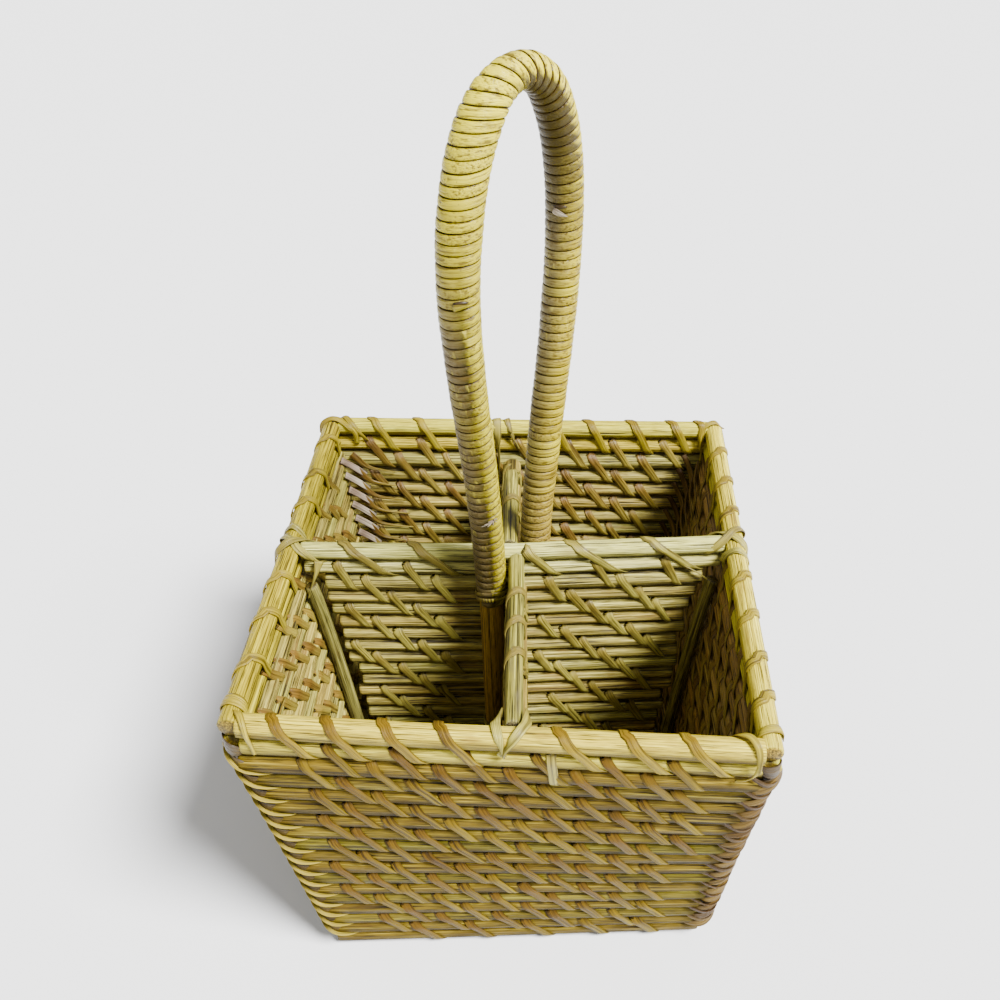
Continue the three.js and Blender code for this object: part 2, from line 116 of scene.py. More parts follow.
# Lacing stitches; a pair of values is a range that each stitch draws from
STITCH_LIFT = 2.1
LOWEST_STITCH = 1.7
STITCH_PITCH = 27.0
STITCH_STEP = 12.5
STITCH_RUN = 15.5
DIVIDER_STITCH_PITCH = 33.0
DIVIDER_STITCH_STEP = 10.0
DIVIDER_STITCH_RUN = 12.0
STITCH_MARGIN = 11.0
STITCH_SCATTER = 1.2
STITCH_LENGTHS = (0.88, 1.12)
STITCH_WIDTHS = (0.86, 1.1)
STITCH_CURLS = (2.2, 4.5)
STITCH_THINNING = 0.85
STITCH_THINNING_POWERS = (2.4, 4.0)
LACING_GAP = 2.0
LACING_END_GAP = 3.0
PARTITION_LACING_GAP = 4.0

# Shares of a stitch's run that keep to its fall and to its curl
STITCH_SLANT = (0.8, 0.2)

# Spiral bindings of the rods, with the gaps they leave at corners, joints and handle
BINDING_PITCH = 24.0
DIVIDER_BINDING_PITCH = 31.0
PARTITION_BINDING_PITCH = 22.0
RIM_SLANTS = {"front": (0.68, 0.18), "back": (0.3, 0.54), "left": (0.45, 0.3), "right": (0.45, 0.3)}
DIVIDER_SLANTS = (0.68, 0.18)
BINDING_CURL = 0.3
BINDING_SCATTER = 0.08
BINDING_CORNER_GAP = 7.0
BINDING_JOINT_GAP = 12.0
BINDING_LIMB_GAP = 4.0
LEFT_BINDING_GAP = 18.0
RIGHT_BINDING_GAP = 14.0
PARTITION_BINDING_GAP = 25.0
PARTITION_BINDING_LIMB_GAP = 5.0

# Corner lacing
CORNER_RADIUS = 8.0
CORNER_REACH = 13.0
CORNER_STEPS = 19
CORNER_STAND = 0.9
CORNER_DIP = 3.0
CORNER_DIP_POWER = 3
CORNER_THINNING = 0.72
CORNER_THINNING_POWER = 2.5
CORNER_TOP_SHARE = 0.9
# Near-black strip laid round each corner under its lacing, filling its gaps with painted shade
CORE_REACH = 8.0
CORE_WIDTH = 7.4
CORE_STAND = 0.1
CORE_SHARE = 0.4

# Corner strips: drop in reed pitches, tilt in degrees, width; on the right with a sense and a reach
LEFT_CORNER_STRIP = (1.4, -68, 3.4)
RIGHT_CORNER_STRIPS = ((1, 1.5, -25, 4.4, 13.0), (-1, 1.3, 20, 4.2, 11.0))

# Stray of each strip on the right, in height, tilt in degrees, share of width, and reach
CORNER_STRAYS = (0.7, 12, 0.2, 1.5)

# Slats that bridge the inside corners
SLAT_REACH = 9.0
SLAT_SAG = 1.2
SLAT_FALL = 15.0
SLAT_WIDTH = 3.4
SLAT_LIFT = -0.8
SLAT_STEPS = 7
SLAT_TILTS = (0.2, 0.9)

# Tails beside the inside corners: points along the wall, up, and off it; the last has a drawn reach
TAIL_START = ((4.0, 6.0, 0.6), (6.5, 3.5, 1.1), (9.0, 0.0, 0.9), (12.0, -2.6, 0.5), (17.0, -4.2, 0.1))
TAIL_REACHES = (24, 31)
TAIL_END = (-5.6, -0.8)
TAIL_STEPS = 26
TAIL_THINNING = 0.88
TAIL_THINNING_POWER = 1.4
TAIL_SHADES = (0, 0.6)

# Straps round the rim and at the joints
STRAP_STEPS = 6
STRAP_NEARNESS = 5
RIM_STRAP_STAND = 0.45
DIVIDER_STRAP_STAND = 0.5

# Drift of the crossed dividers away from square
DIVIDER_SETBACK = 1.0
DIVIDER_LEFT_DRIFT = 3.0
DIVIDER_RIGHT_DRIFT = 11.0
FRONT_PARTITION_DRIFT = 3.8
REAR_PARTITION_DRIFT = -4.2
REAR_ROD_SHORTFALL = 38.0
POST_TOP_DROP = 15.0

# Hoop handle
HANDLE_TOP = 380.2
HANDLE_SPRINGLINE = 310.0
HANDLE_HALF_SPAN = 30.2
ARCH_FULLNESS = 0.9
ARCH_STEPS = 8
HANDLE_SAMPLES = 1600
HANDLE_LEAN = 5.0
LIMB_SIDE = 10.0
POLE_RADIUS = 5.9
POLE_STEPS = 120
PLAIN_SHADE = 0.5
LIMB_FLARES = {-1: ((55.0, 4.2), (108.0, 11.0)), 1: ((55.0, 5.8), (108.0, 12.2))}
WINDING_INNER = 6.2
WINDING_OUTER = 7.12
WINDING_TURNS = 122
WINDING_STEPS = 36
WINDING_DROP = 24.0
WINDING_COVER = 0.955
TURN_DRIFT = 0.025
TURN_SWELL = 0.08

# Along the handle from the middle of its arch: how much fuller the winding is, and how far it leans
WINDING_FULLNESS = (
    (-240.0, 0.0), (-145.0, 0.35), (-110.0, 0.6), (-60.0, 1.3), (-25.0, 1.1), (0.0, -0.9),
    (25.0, 0.5), (145.0, 0.5), (240.0, 0.1),
)
WINDING_LEAN = ((-240.0, -0.2), (-70.0, 0.4), (-38.0, 2.8), (-15.0, 3.0), (5.0, 1.0), (20.0, 0.0))

# Slack turns at the winding's ends, each a slant and a shift
LOOPS = ((3.0, 3.0), (4.2, 5.5))
LOOP_TURN = 2.3 * math.pi
LOOP_STEPS = 40
LOOP_FACING = math.radians(50)
LOOP_WIDTH = 2.4

# Strips that tie both limbs to the divider, each over one of its reeds
TIE_ROWS = {"lower": 2, "upper": 5}
TIE_STEPS = 9

# Stray of the hand-made rim at its corners, and turn of the floor
FLOOR_TURN = math.radians(3.2)
RIM_STRAY = {
    "front_left": (0.0, 2.6, 1.6),
    "front_right": (-3.0, -1.4, -3.4),
    "back_left": (0.0, 0.0, 0.9),
    "back_right": (2.1, 0.0, 0.9),
}

# Camera that took the picture: places in metres, lens and sensor in millimetres
CAMERA_PLACE = (0.01587, -0.33252, 0.45935)
CAMERA_TARGET = (0.00896, 0.0, 0.21464)
CAMERA_ROLL = math.radians(0.062)
CAMERA_LENS = 33.95
CAMERA_SENSOR = 36.0
CAMERA_SHIFT = (-0.0328, -0.0307)

UP = np.array((0.0, 0.0, 1.0))
RIGHT = np.array((1.0, 0.0, 0.0))


# Stray and tub outline


def inset(rim, floor, taper, z):
    """How far a wall has come in at a height; its taper is the height where that starts, and its curve."""
    start, curve = taper
    share = np.clip(1 - np.asarray(z) / start, 0, None)
    return (rim - floor) / 2 * share ** curve


def half_width(z):
    return RIM_WIDTH / 2 - inset(RIM_WIDTH, FLOOR_WIDTH, WIDTH_TAPER, z)


def half_depth(z):
    return RIM_DEPTH / 2 - inset(RIM_DEPTH, FLOOR_DEPTH, DEPTH_TAPER, z)


def strayed(points):
    """Points moved from the square tub to the hand-made one."""
    x, y, z = points[..., 0], points[..., 1], points[..., 2]
    share = np.minimum(z / RIM_HEIGHT, 1)
    turn = FLOOR_TURN * (1 - share)
    right = x / RIM_WIDTH + 0.5
    back = y / RIM_DEPTH + 0.5
    weights = {
        "front_left": (1 - right) * (1 - back),
        "front_right": right * (1 - back),
        "back_left": (1 - right) * back,
        "back_right": right * back,
    }
    shift = sum((weights[name] * share)[..., None] * np.array(RIM_STRAY[name]) for name in weights)
    turned = (x * np.cos(turn) - y * np.sin(turn), x * np.sin(turn) + y * np.cos(turn), z)
    return np.stack(turned, axis=-1) + shift


def unit(vectors):
    return vectors / np.linalg.norm(vectors, axis=-1, keepdims=True)


def tangents(path):
    return unit(np.gradient(path, axis=0))


def square_to(direction, vectors):
    """The part of each vector that is square to a direction."""
    return vectors - np.sum(vectors * direction, axis=-1, keepdims=True) * direction


def distances(path):
    """Distance along a path at each of its points."""
    steps = np.linalg.norm(np.diff(path, axis=0), axis=1)
    return np.concatenate(([0.0], np.cumsum(steps)))


class Rail:
    """Upright plane of a wall or divider: its axis, the line of its middle, and its outer sense."""

    def __init__(self, axis, line, out=-1):
        self.axis = axis
        self.line = line
        self.out = out

    def place(self, s, across, z):
        s, across, z = np.broadcast_arrays(s, across, z)
        order = (s, across, z) if self.axis == "x" else (across, s, z)
        return np.stack(order, axis=-1).astype(float)

    def rightward(self, side):
        """Sense along the rail that looks rightward to a viewer who faces that side."""
        return -side if self.axis == "x" else side


def divider_line(x, z):
    drift = np.where(np.asarray(x) < 0, DIVIDER_LEFT_DRIFT, DIVIDER_RIGHT_DRIFT)
    return DIVIDER_SETBACK + drift * x * z / (RIM_HEIGHT * RIM_WIDTH / 2)


def partition_line(shift, drift):
    return lambda y, z: shift + drift * np.abs(y) * z / (RIM_HEIGHT * RIM_DEPTH / 2)


PARTITION_SHIFT = WINDING_OUTER + SEAT + DIVIDER_HALF - LIMB_SIDE
WALLS = {
    "front": Rail("x", lambda s, z: -half_depth(z) + 0 * s, -1),
    "back": Rail("x", lambda s, z: half_depth(z) + 0 * s, 1),
    "left": Rail("y", lambda s, z: -half_width(z) + 0 * s, -1),
    "right": Rail("y", lambda s, z: half_width(z) + 0 * s, 1),
}
DIVIDER = Rail("x", divider_line)
FRONT_PARTITION = Rail("y", partition_line(PARTITION_SHIFT, FRONT_PARTITION_DRIFT))
REAR_PARTITION = Rail("y", partition_line(-PARTITION_SHIFT, REAR_PARTITION_DRIFT))


def stack(bottom, top, count):
    """Half thickness and heights of reeds stacked between two levels."""
    half = (top - bottom + REED_LAP * (count - 1)) / (2 * count)
    return half, bottom + half + (2 * half - REED_LAP) * np.arange(count)


FLOOR_SPAN = half_depth(BASE_HALF) - BASE_HALF - SEAT
FLOOR_HALF, FLOOR_ROWS = stack(-FLOOR_SPAN, FLOOR_SPAN, FLOOR_REEDS)
FLOOR_TOP = 2 * FLOOR_HALF
STRIP_SPACE = BINDING_ROOM + 2 * SEAT
UNDER_ROD_HEIGHT = RIM_HEIGHT - 2 * RIM_HALF - SEAT
UNDER_DIVIDER_HEIGHT = RIM_HEIGHT - 2 * DIVIDER_HALF - SEAT
WALL_HALF, WALL_ROWS = stack(
    2 * BASE_HALF + SEAT, UNDER_ROD_HEIGHT - RIM_HALF - STRIP_SPACE, WALL_REEDS
)
DIVIDER_REED_HALF, DIVIDER_ROWS = stack(
    FLOOR_TOP + SEAT, UNDER_DIVIDER_HEIGHT - DIVIDER_HALF - STRIP_SPACE, DIVIDER_REEDS
)


def filled(rows, half):
    """Heights and radii of stacked reeds from the top down, the topmost grown to meet the rod over it."""
    fill = STRIP_SPACE / 2
    return [(rows[-1] + fill, half + fill)] + [(z, half) for z in rows[-2::-1]]


WALL_PITCH = WALL_ROWS[1] - WALL_ROWS[0]
WALL_STACK = filled(WALL_ROWS, WALL_HALF)
DIVIDER_STACK = filled(DIVIDER_ROWS, DIVIDER_REED_HALF)


def inside_width(z):
    return half_width(z - WALL_HALF) - WALL_HALF - SEAT


def inside_depth(z):
    return half_depth(z - WALL_HALF) - WALL_HALF - SEAT


# Mesh building


def shown(name, data):
    """New object that is part of the scene."""
    thing = bpy.data.objects.new(name, data)
    bpy.context.scene.collection.objects.link(thing)
    return thing


class Surface:
    """Swept bodies gathered into one mesh, with texture coordinates and finish values.

    A finish value holds the piece's own shade, then a reed's painted shade or a strip's progress from its
    head to its tail, then a reed's cut end or a strip's edge.
    """

    def __init__(self):
        self.points = []
        self.finish = []
        self.corners = []
        self.sizes = []
        self.coords = []
        self.count = 0

    def add_faces(self, corners, coords):
        self.corners.append(corners.reshape(-1))
        self.sizes.append(np.full(len(corners), corners.shape[1]))
        self.coords.append(coords.reshape(-1, 2))

    def sweep(self, rings, along, around, finish, bulge=0.0):
        """Closed body through rings of points, with its ends closed by fans."""
        steps, sides, _ = rings.shape
        index = self.count + np.arange(steps * sides).reshape(steps, sides)
        here, there = index[:-1], index[1:]
        quads = np.stack((here, np.roll(here, -1, 1), np.roll(there, -1, 1), there), axis=-1)
        u0 = np.repeat(along[:-1, None], sides, axis=1)
        u1 = np.repeat(along[1:, None], sides, axis=1)
        v0 = np.repeat(around[None, :-1], steps - 1, axis=0)
        v1 = np.repeat(around[None, 1:], steps - 1, axis=0)
        quad_coords = np.stack((
            np.stack((u0, v0), -1), np.stack((u0, v1), -1), np.stack((u1, v1), -1), np.stack((u1, v0), -1),
        ), axis=2)
        self.add_faces(quads.reshape(-1, 4), quad_coords.reshape(-1, 4, 2))
        points = [rings.reshape(-1, 3)]
        values = [finish.reshape(-1, 3)]
        for ring, inner, sense in ((0, 1, 1), (steps - 1, steps - 2, -1)):
            middle = rings[ring].mean(axis=0)
            outward = unit(middle - rings[inner].mean(axis=0))
            centre = self.count + sum(len(p) for p in points)
            points.append((middle + bulge * outward)[None, :])
            values.append(finish[ring].mean(axis=0)[None, :])
            rim = index[ring]
            tris = np.stack((np.full(sides, centre), np.roll(rim, -1), rim)[::sense], axis=-1)
            spread = np.stack((np.full(sides, along[ring]), around[:-1]), axis=-1)
            self.add_faces(tris, np.repeat(spread[:, None, :], 3, axis=1))
        self.points.extend(points)
        self.finish.extend(values)
        self.count += sum(len(p) for p in points)

    def build(self, name, material, nodes=()):
        """Mesh object in metres that rides on the basket and stands for the named CAD nodes."""
        points = strayed(np.concatenate(self.points)) * MM
        corners = np.concatenate(self.corners)
        sizes = np.concatenate(self.sizes)
        mesh = bpy.data.meshes.new(name)
        mesh.vertices.add(len(points))
        mesh.vertices.foreach_set("co", points.astype(np.float32).ravel())
        mesh.loops.add(len(corners))
        mesh.loops.foreach_set("vertex_index", corners.astype(np.int32))
        mesh.polygons.add(len(sizes))
        starts = np.concatenate(([0], np.cumsum(sizes)[:-1]))
        mesh.polygons.foreach_set("loop_start", starts.astype(np.int32))
        mesh.update(calc_edges=True)
        mesh.polygons.foreach_set("use_smooth", np.ones(len(sizes), dtype=bool))
        layer = mesh.uv_layers.new(name="Along")
        layer.data.foreach_set("uv", np.concatenate(self.coords).astype(np.float32).ravel())
        values = np.concatenate(self.finish)
        colours = np.concatenate((values, np.ones((len(values), 1))), axis=1)
        attribute = mesh.attributes.new("finish", "FLOAT_COLOR", "POINT")
        attribute.data.foreach_set("color", colours.astype(np.float32).ravel())
        mesh.validate()
        mesh.materials.append(material)
        piece = shown(name, mesh)
        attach(piece, "root")
        if nodes:
            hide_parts(*nodes)


def add_reed(surface, path, radius, shade, reference=UP, painted_shade=(0.0, 0.0), outside=0.0, lean=0.0):
    """Round reed with soft lengthwise ridges and cut ends.

    Painted shade lies in the grooves over and under it, and on one side: its sign says which. The lower
    painted shade leans round to a side by an angle.
    """
    tangent = tangents(path)
    first = unit(square_to(tangent, reference))
    second = np.cross(tangent, first)
    along = distances(path)
    angle = np.arange(REED_SIDES) * 2 * math.pi / REED_SIDES
    twist = chance.uniform(-TWIST, TWIST)
    phase = chance.uniform(0, 2 * math.pi, 3)
    theta = angle[None, :] + twist * along[:, None]
    scale = 1 + RIDGE_SHARE * np.sin(RIDGES * theta + phase[0])
    scale += FINE_RIDGE_SHARE * np.sin(FINE_RIDGES * theta + phase[1])
    scale += SWELL_SHARE * np.sin(along / SWELL_LENGTH + phase[2])[:, None]
    for ring, share in enumerate(REED_TIPS):
        scale[ring] *= share
        scale[-1 - ring] *= share
    spokes = np.cos(angle)[None, :, None] * first[:, None] + np.sin(angle)[None, :, None] * second[:, None]
    rings = path[:, None] + radius * scale[..., None] * spokes
    around = np.arange(REED_SIDES + 1) * 2 * math.pi * radius / REED_SIDES
    finish = np.zeros(rings.shape)
    finish[..., 0] = shade
    # Painted shade, darker in the grooves over and under the reed and on its outer side
    above = np.clip(np.cos(angle), 0, 1) ** PAINTED_SHADE_OVER
    below = np.clip(-np.cos(angle + lean), 0, 1) ** PAINTED_SHADE_UNDER
    outer_shade = np.clip(outside * np.sin(angle), 0, 1)
    finish[..., 1] = np.maximum(painted_shade[0] * above + painted_shade[1] * below, outer_shade)
    finish[0, :, 2] = 1
    finish[-1, :, 2] = 1
    surface.sweep(rings, along * MM, around * MM, finish, REED_EDGES[0])


def wander(stops, reach):
    """Gentle sideways drift along a reed."""
    phases = chance.uniform(0, 2 * math.pi, len(WANDER_LENGTHS))
    waves = [np.sin(stops / length + phase) for length, phase in zip(WANDER_LENGTHS, phases)]
    return reach * sum(waves) / len(waves)


def reed_stops(start, end):
    near, far = REED_EDGES
    inner = np.linspace(start + far, end - far, max(LEAST_STOPS, round((end - start) / REED_STEP)))
    return np.concatenate(([start, start + near], inner, [end - near, end]))


def add_rail_reed(surface, rail, ends, z, radius, painted_shade=SHADE_BOTH_GROOVES, reach=WANDER, outside=0.0, lean=0.0):
    stops = reed_stops(*ends)
    across = rail.line(stops, z) + wander(stops, reach)
    path = rail.place(stops, across, z + wander(stops, reach))
    add_reed(surface, path, radius, chance.uniform(), painted_shade=painted_shade, outside=outside, lean=lean)


# Cross-section of split cane, in shares of its width and thickness, with its edge values, which carry a
# strip's painted edge colour and the winding's painted seam shade
CANE_SECTION = np.array((
    (-0.5, 0.0), (0.5, 0.0), (0.5, 0.55), (0.42, 0.9), (0.0, 1.15), (-0.42, 0.9), (-0.5, 0.55),
))
CANE_EDGE = np.array((1.0, 1.0, 1.0, 0.45, 0.0, 0.45, 1.0))
WOUND_SECTION = np.array((
    (-0.5, 0.0), (0.5, 0.0), (0.5, 0.38), (0.47, 0.64), (0.4, 0.84), (0.24, 1.02),
    (-0.24, 1.02), (-0.4, 0.84), (-0.47, 0.64), (-0.5, 0.38),
))
WOUND_EDGE = np.array((1.0, 1.0, 1.0, 1.0, 0.35, 0.0, 0.0, 0.35, 1.0, 1.0))


def add_cane(surface, path, normal, width, shade, ramp=None):
    """Flat strip of cane along a path, lying across its normals."""
    add_strip(surface, path, normal, width, CANE_THICKNESS, CANE_SECTION, CANE_EDGE, shade, ramp)


def add_strip(surface, path, normal, width, thickness, section, edge, shade, ramp=None):
    tangent = tangents(path)
    lift = unit(square_to(tangent, normal))
    breadth = np.cross(lift, tangent)
    width = np.broadcast_to(width, len(path))
    rings = (
        path[:, None]
        + (section[None, :, :1] * width[:, None, None]) * breadth[:, None]
        + (section[None, :, 1:] * thickness) * lift[:, None]
    )
    along = distances(path)
    around = np.concatenate((section[:, 0], [section[0, 0]])) * np.mean(width)
    finish = np.zeros(rings.shape)
    finish[..., 0] = np.broadcast_to(shade, len(path))[:, None]
    finish[..., 1] = (along / along[-1] if ramp is None else ramp)[:, None]
    finish[..., 2] = edge
    surface.sweep(rings, along * MM, around * MM, finish)


def over_rods(upper, lower):
    """Heights, lifts and tilts of a strip that crosses a pair of rods, each a height and radius."""
    bend = np.radians(ROD_BENDS)
    (top, r_top), (bottom, r_bottom) = upper, lower
    heights = np.concatenate((
        top + r_top * np.sin(bend), [(top + bottom) / 2], bottom - r_bottom * np.sin(bend[::-1]),
    ))
    lifts = np.concatenate((
        r_top * np.cos(bend), [(r_top + r_bottom) / 2 - GROOVE_SAG], r_bottom * np.cos(bend[::-1]),
    ))
    tilts = np.concatenate((bend, [0.0], -bend[::-1]))
    return heights, lifts, tilts


def fallen(heights):
    """Share of its whole fall that a strip has made at each of its points."""
    return (heights[0] - heights) / (heights[0] - heights[-1])


def rod_pair(under_height, half):
    """Rod at the rim and the one under it, as a strip round them both finds them."""
    return (RIM_HEIGHT, half + SEAT), (under_height, half + SEAT)


def face_normals(rail, side, tilts):
    return rail.place(0 * tilts, side * np.cos(tilts), np.sin(tilts))


def add_stitch(surface, rail, side, upper, lower, start, run, thinning=STITCH_THINNING):
    """One diagonal strip over two rods: broad at its head, curling flatter to a thinner tail."""
    heights, lifts, tilts = over_rods(upper, lower)
    lifts = np.maximum(lifts, STITCH_LIFT)
    progress = np.linspace(0, 1, len(heights))
    curl = chance.uniform(*STITCH_CURLS)
    run = run * chance.uniform(*STITCH_LENGTHS)
    straight, curled = STITCH_SLANT
    s = start + rail.rightward(side) * run * (straight * fallen(heights) + curled * progress ** curl)
    z = np.maximum(heights, LOWEST_STITCH)
    path = rail.place(s, rail.line(s, z) + side * lifts, z)
    taper = 1 - thinning * progress ** chance.uniform(*STITCH_THINNING_POWERS)
    breadth = CANE_WIDTH * chance.uniform(*STITCH_WIDTHS) * taper
    add_cane(surface, path, face_normals(rail, side, tilts), breadth, chance.uniform())


def lace_face(surface, rail, side, rods, span, pitch, step, run):
    """Rows of stitches over neighbouring rods, each row a step further along than the one above."""
    turned = rail.rightward(side)
    offset = chance.uniform(0, pitch)
    for row, (upper, lower) in enumerate(zip(rods, rods[1:])):
        low, high = span((upper[0] + lower[0]) / 2)
        first = low if turned > 0 else -high
        last = high if turned > 0 else -low
        shift = (offset + row * step) % pitch
        for start in np.arange(first - run + shift, last, pitch):
            head = start + chance.uniform(-STITCH_SCATTER, STITCH_SCATTER)
            if head < first or head + run > last:
                continue
            add_stitch(surface, rail, side, upper, lower, turned * head, run)


def add_binding(surface, rail, start, end, rods, wanted_pitch, slants):
    """Unbroken strip wound round a pair of rods; its slants outside and inside are shares of its pitch."""
    heights, lifts, tilts = over_rods(*rods)
    steps = len(heights)
    turns = max(1, round((end - start) / wanted_pitch))
    pitch = (end - start) / turns
    outer, inner = slants
    cross = (1 - outer - inner) / 2
    share = np.linspace(0, 1, steps)
    fall = fallen(heights)
    rise = 1 - fall[::-1]
    advance = np.concatenate((
        (BINDING_CURL * share + (1 - BINDING_CURL) * rise) * inner,
        inner + cross + (BINDING_CURL * share + (1 - BINDING_CURL) * fall) * outer,
    ))

    def wound(values):
        """Values of a strip that climbs the inside and falls down the outside on every turn."""
        return np.tile(np.concatenate((values[::-1], values)), turns)

    wobble = np.repeat(chance.uniform(-BINDING_SCATTER, BINDING_SCATTER, turns), 2 * steps)
    s = (np.arange(turns)[:, None] + advance[None, :]).ravel() + wobble
    s = start + s * pitch if rail.rightward(rail.out) > 0 else end - s * pitch
    side = rail.out * np.tile(np.repeat((-1, 1), steps), turns)
    z = wound(heights)
    path = rail.place(s, rail.line(s, z) + side * wound(lifts), z)
    normals = face_normals(rail, side, wound(tilts))
    add_cane(surface, path, normals, BINDING_WIDTH, chance.uniform(), wound(share))


# Corners


def corner_frame(side, depth, along, z, lift):
    """Points and outward directions round a rounded corner; along is positive on the front or back."""
    quarter = CORNER_RADIUS * math.pi / 4
    turn = math.pi / 4 * (1 + np.clip(along / quarter, -1, 1))
    beyond = np.clip(np.abs(along) - quarter, 0, None)
    out_x = half_width(z) + WALL_HALF - CORNER_RADIUS
    out_y = half_depth(z) + WALL_HALF - CORNER_RADIUS
    x = out_x + (CORNER_RADIUS + lift) * np.cos(turn) - np.where(along > 0, beyond, 0)
    y = out_y + (CORNER_RADIUS + lift) * np.sin(turn) - np.where(along < 0, beyond, 0)
    points = np.stack((side * x, depth * y, z), axis=-1)
    normals = np.stack((side * np.cos(turn), depth * np.sin(turn), 0 * z), axis=-1)
    return points, normals


def add_corner_strip(
    surface, side, depth, top, drop, heading, tilt, width, reach=CORNER_REACH, stand=CORNER_STAND,
):
    """Strip that curls round a corner as it falls, and dips between the reeds at both ends."""
    progress = np.linspace(0, 1, CORNER_STEPS)
    along = heading * reach * (2 * progress - 1)
    z = top - drop * progress
    from_middle = np.abs(2 * progress - 1)
    lift = stand - CORNER_DIP * from_middle ** CORNER_DIP_POWER
    points, normals = corner_frame(side, depth, along, z, lift)
    normals = normals * math.cos(tilt) + UP * math.sin(tilt)
    breadth = width * (1 - CORNER_THINNING * from_middle ** CORNER_THINNING_POWER)
    add_cane(surface, points, normals, breadth, chance.uniform())


def inside_place(side, depth, along, z, lift):
    """Points on the inside of a corner; along is the distance past it on the wall where its strips end."""
    past = np.clip(along, 0, None) * np.ones(z.shape)
    short = np.clip(-along, 0, None) * np.ones(z.shape)
    if side * depth > 0:
        past, short = short, past
    over_back = lift * (past > 0)
    over_side = lift * (short > 0)
    x = inside_width(z) - np.maximum(past, over_side)
    y = inside_depth(z) - np.maximum(short, over_back)
    return np.stack((side * x, depth * y, z), axis=-1)


def add_slat(surface, side, depth, z):
    """Flat strip that bridges an inside corner from one wall to the next."""
    progress = np.linspace(0, 1, SLAT_STEPS)
    along = np.array([-SLAT_REACH, SLAT_REACH])
    height = np.array([z + SLAT_FALL / 2, z - SLAT_FALL / 2])
    head, tail = inside_place(side, depth, along, height, SLAT_LIFT)
    path = head + (tail - head) * progress[:, None]
    sag = np.sin(math.pi * progress)[:, None] * SLAT_SAG
    path = path + sag * np.array((side, depth, 0.0))
    normals = np.tile((-side, -depth, chance.uniform(*SLAT_TILTS)), (len(progress), 1))
    add_cane(surface, path, normals, SLAT_WIDTH, chance.uniform())


def add_corner_tail(surface, side, depth, z):
    """Strip that starts beside an inside corner, falls steeply and runs out as a long thin tail."""
    route = centripetal((*TAIL_START, (chance.uniform(*TAIL_REACHES), *TAIL_END)), TAIL_STEPS)
    points = inside_place(side, depth, route[:, 0], z + route[:, 1], route[:, 2])
    inward = (0.0, -depth, 0.0) if side * depth < 0 else (-side, 0.0, 0.0)
    progress = np.linspace(0, 1, TAIL_STEPS)
    breadth = CANE_WIDTH * (1 - TAIL_THINNING * progress ** TAIL_THINNING_POWER)
    add_cane(surface, points, np.tile(inward, (TAIL_STEPS, 1)), breadth, chance.uniform(*TAIL_SHADES))


def strap_normals(points):
    """Outward directions of a strap near two rods that meet, with the crossing at the origin."""
    first, second, up = points[:, 0], points[:, 1], points[:, 2]
    found = np.zeros(points.shape)
    for vector in (np.stack((first, 0 * first, up), -1), np.stack((0 * first, second, up), -1)):
        reach = np.linalg.norm(vector, axis=1, keepdims=True)
        found += vector / reach ** STRAP_NEARNESS
    return unit(found)


def add_strap(surface, strap, place, turn):
    """Smooth flat strap: its controls, width and share of width at its tail.

    Place carries its points from its own coordinates to the basket's, and turn its outward directions.
    """
    controls, width, tail = strap
    points = centripetal(controls, STRAP_STEPS * len(controls))
    breadth = width * np.linspace(1, tail, len(points))
    add_cane(surface, place(points), turn(strap_normals(points)), breadth, chance.uniform())


def add_rim_strap(surface, side, depth, strap):
    """Strap round the rim rods where they meet; its coordinates are out at the side, out at the end, up."""
    corner = np.array((half_width(RIM_HEIGHT), half_depth(RIM_HEIGHT), RIM_HEIGHT))
    mirror = (side, depth, 1)
    add_strap(surface, strap, lambda points: (corner + points) * mirror, lambda normals: normals * mirror)


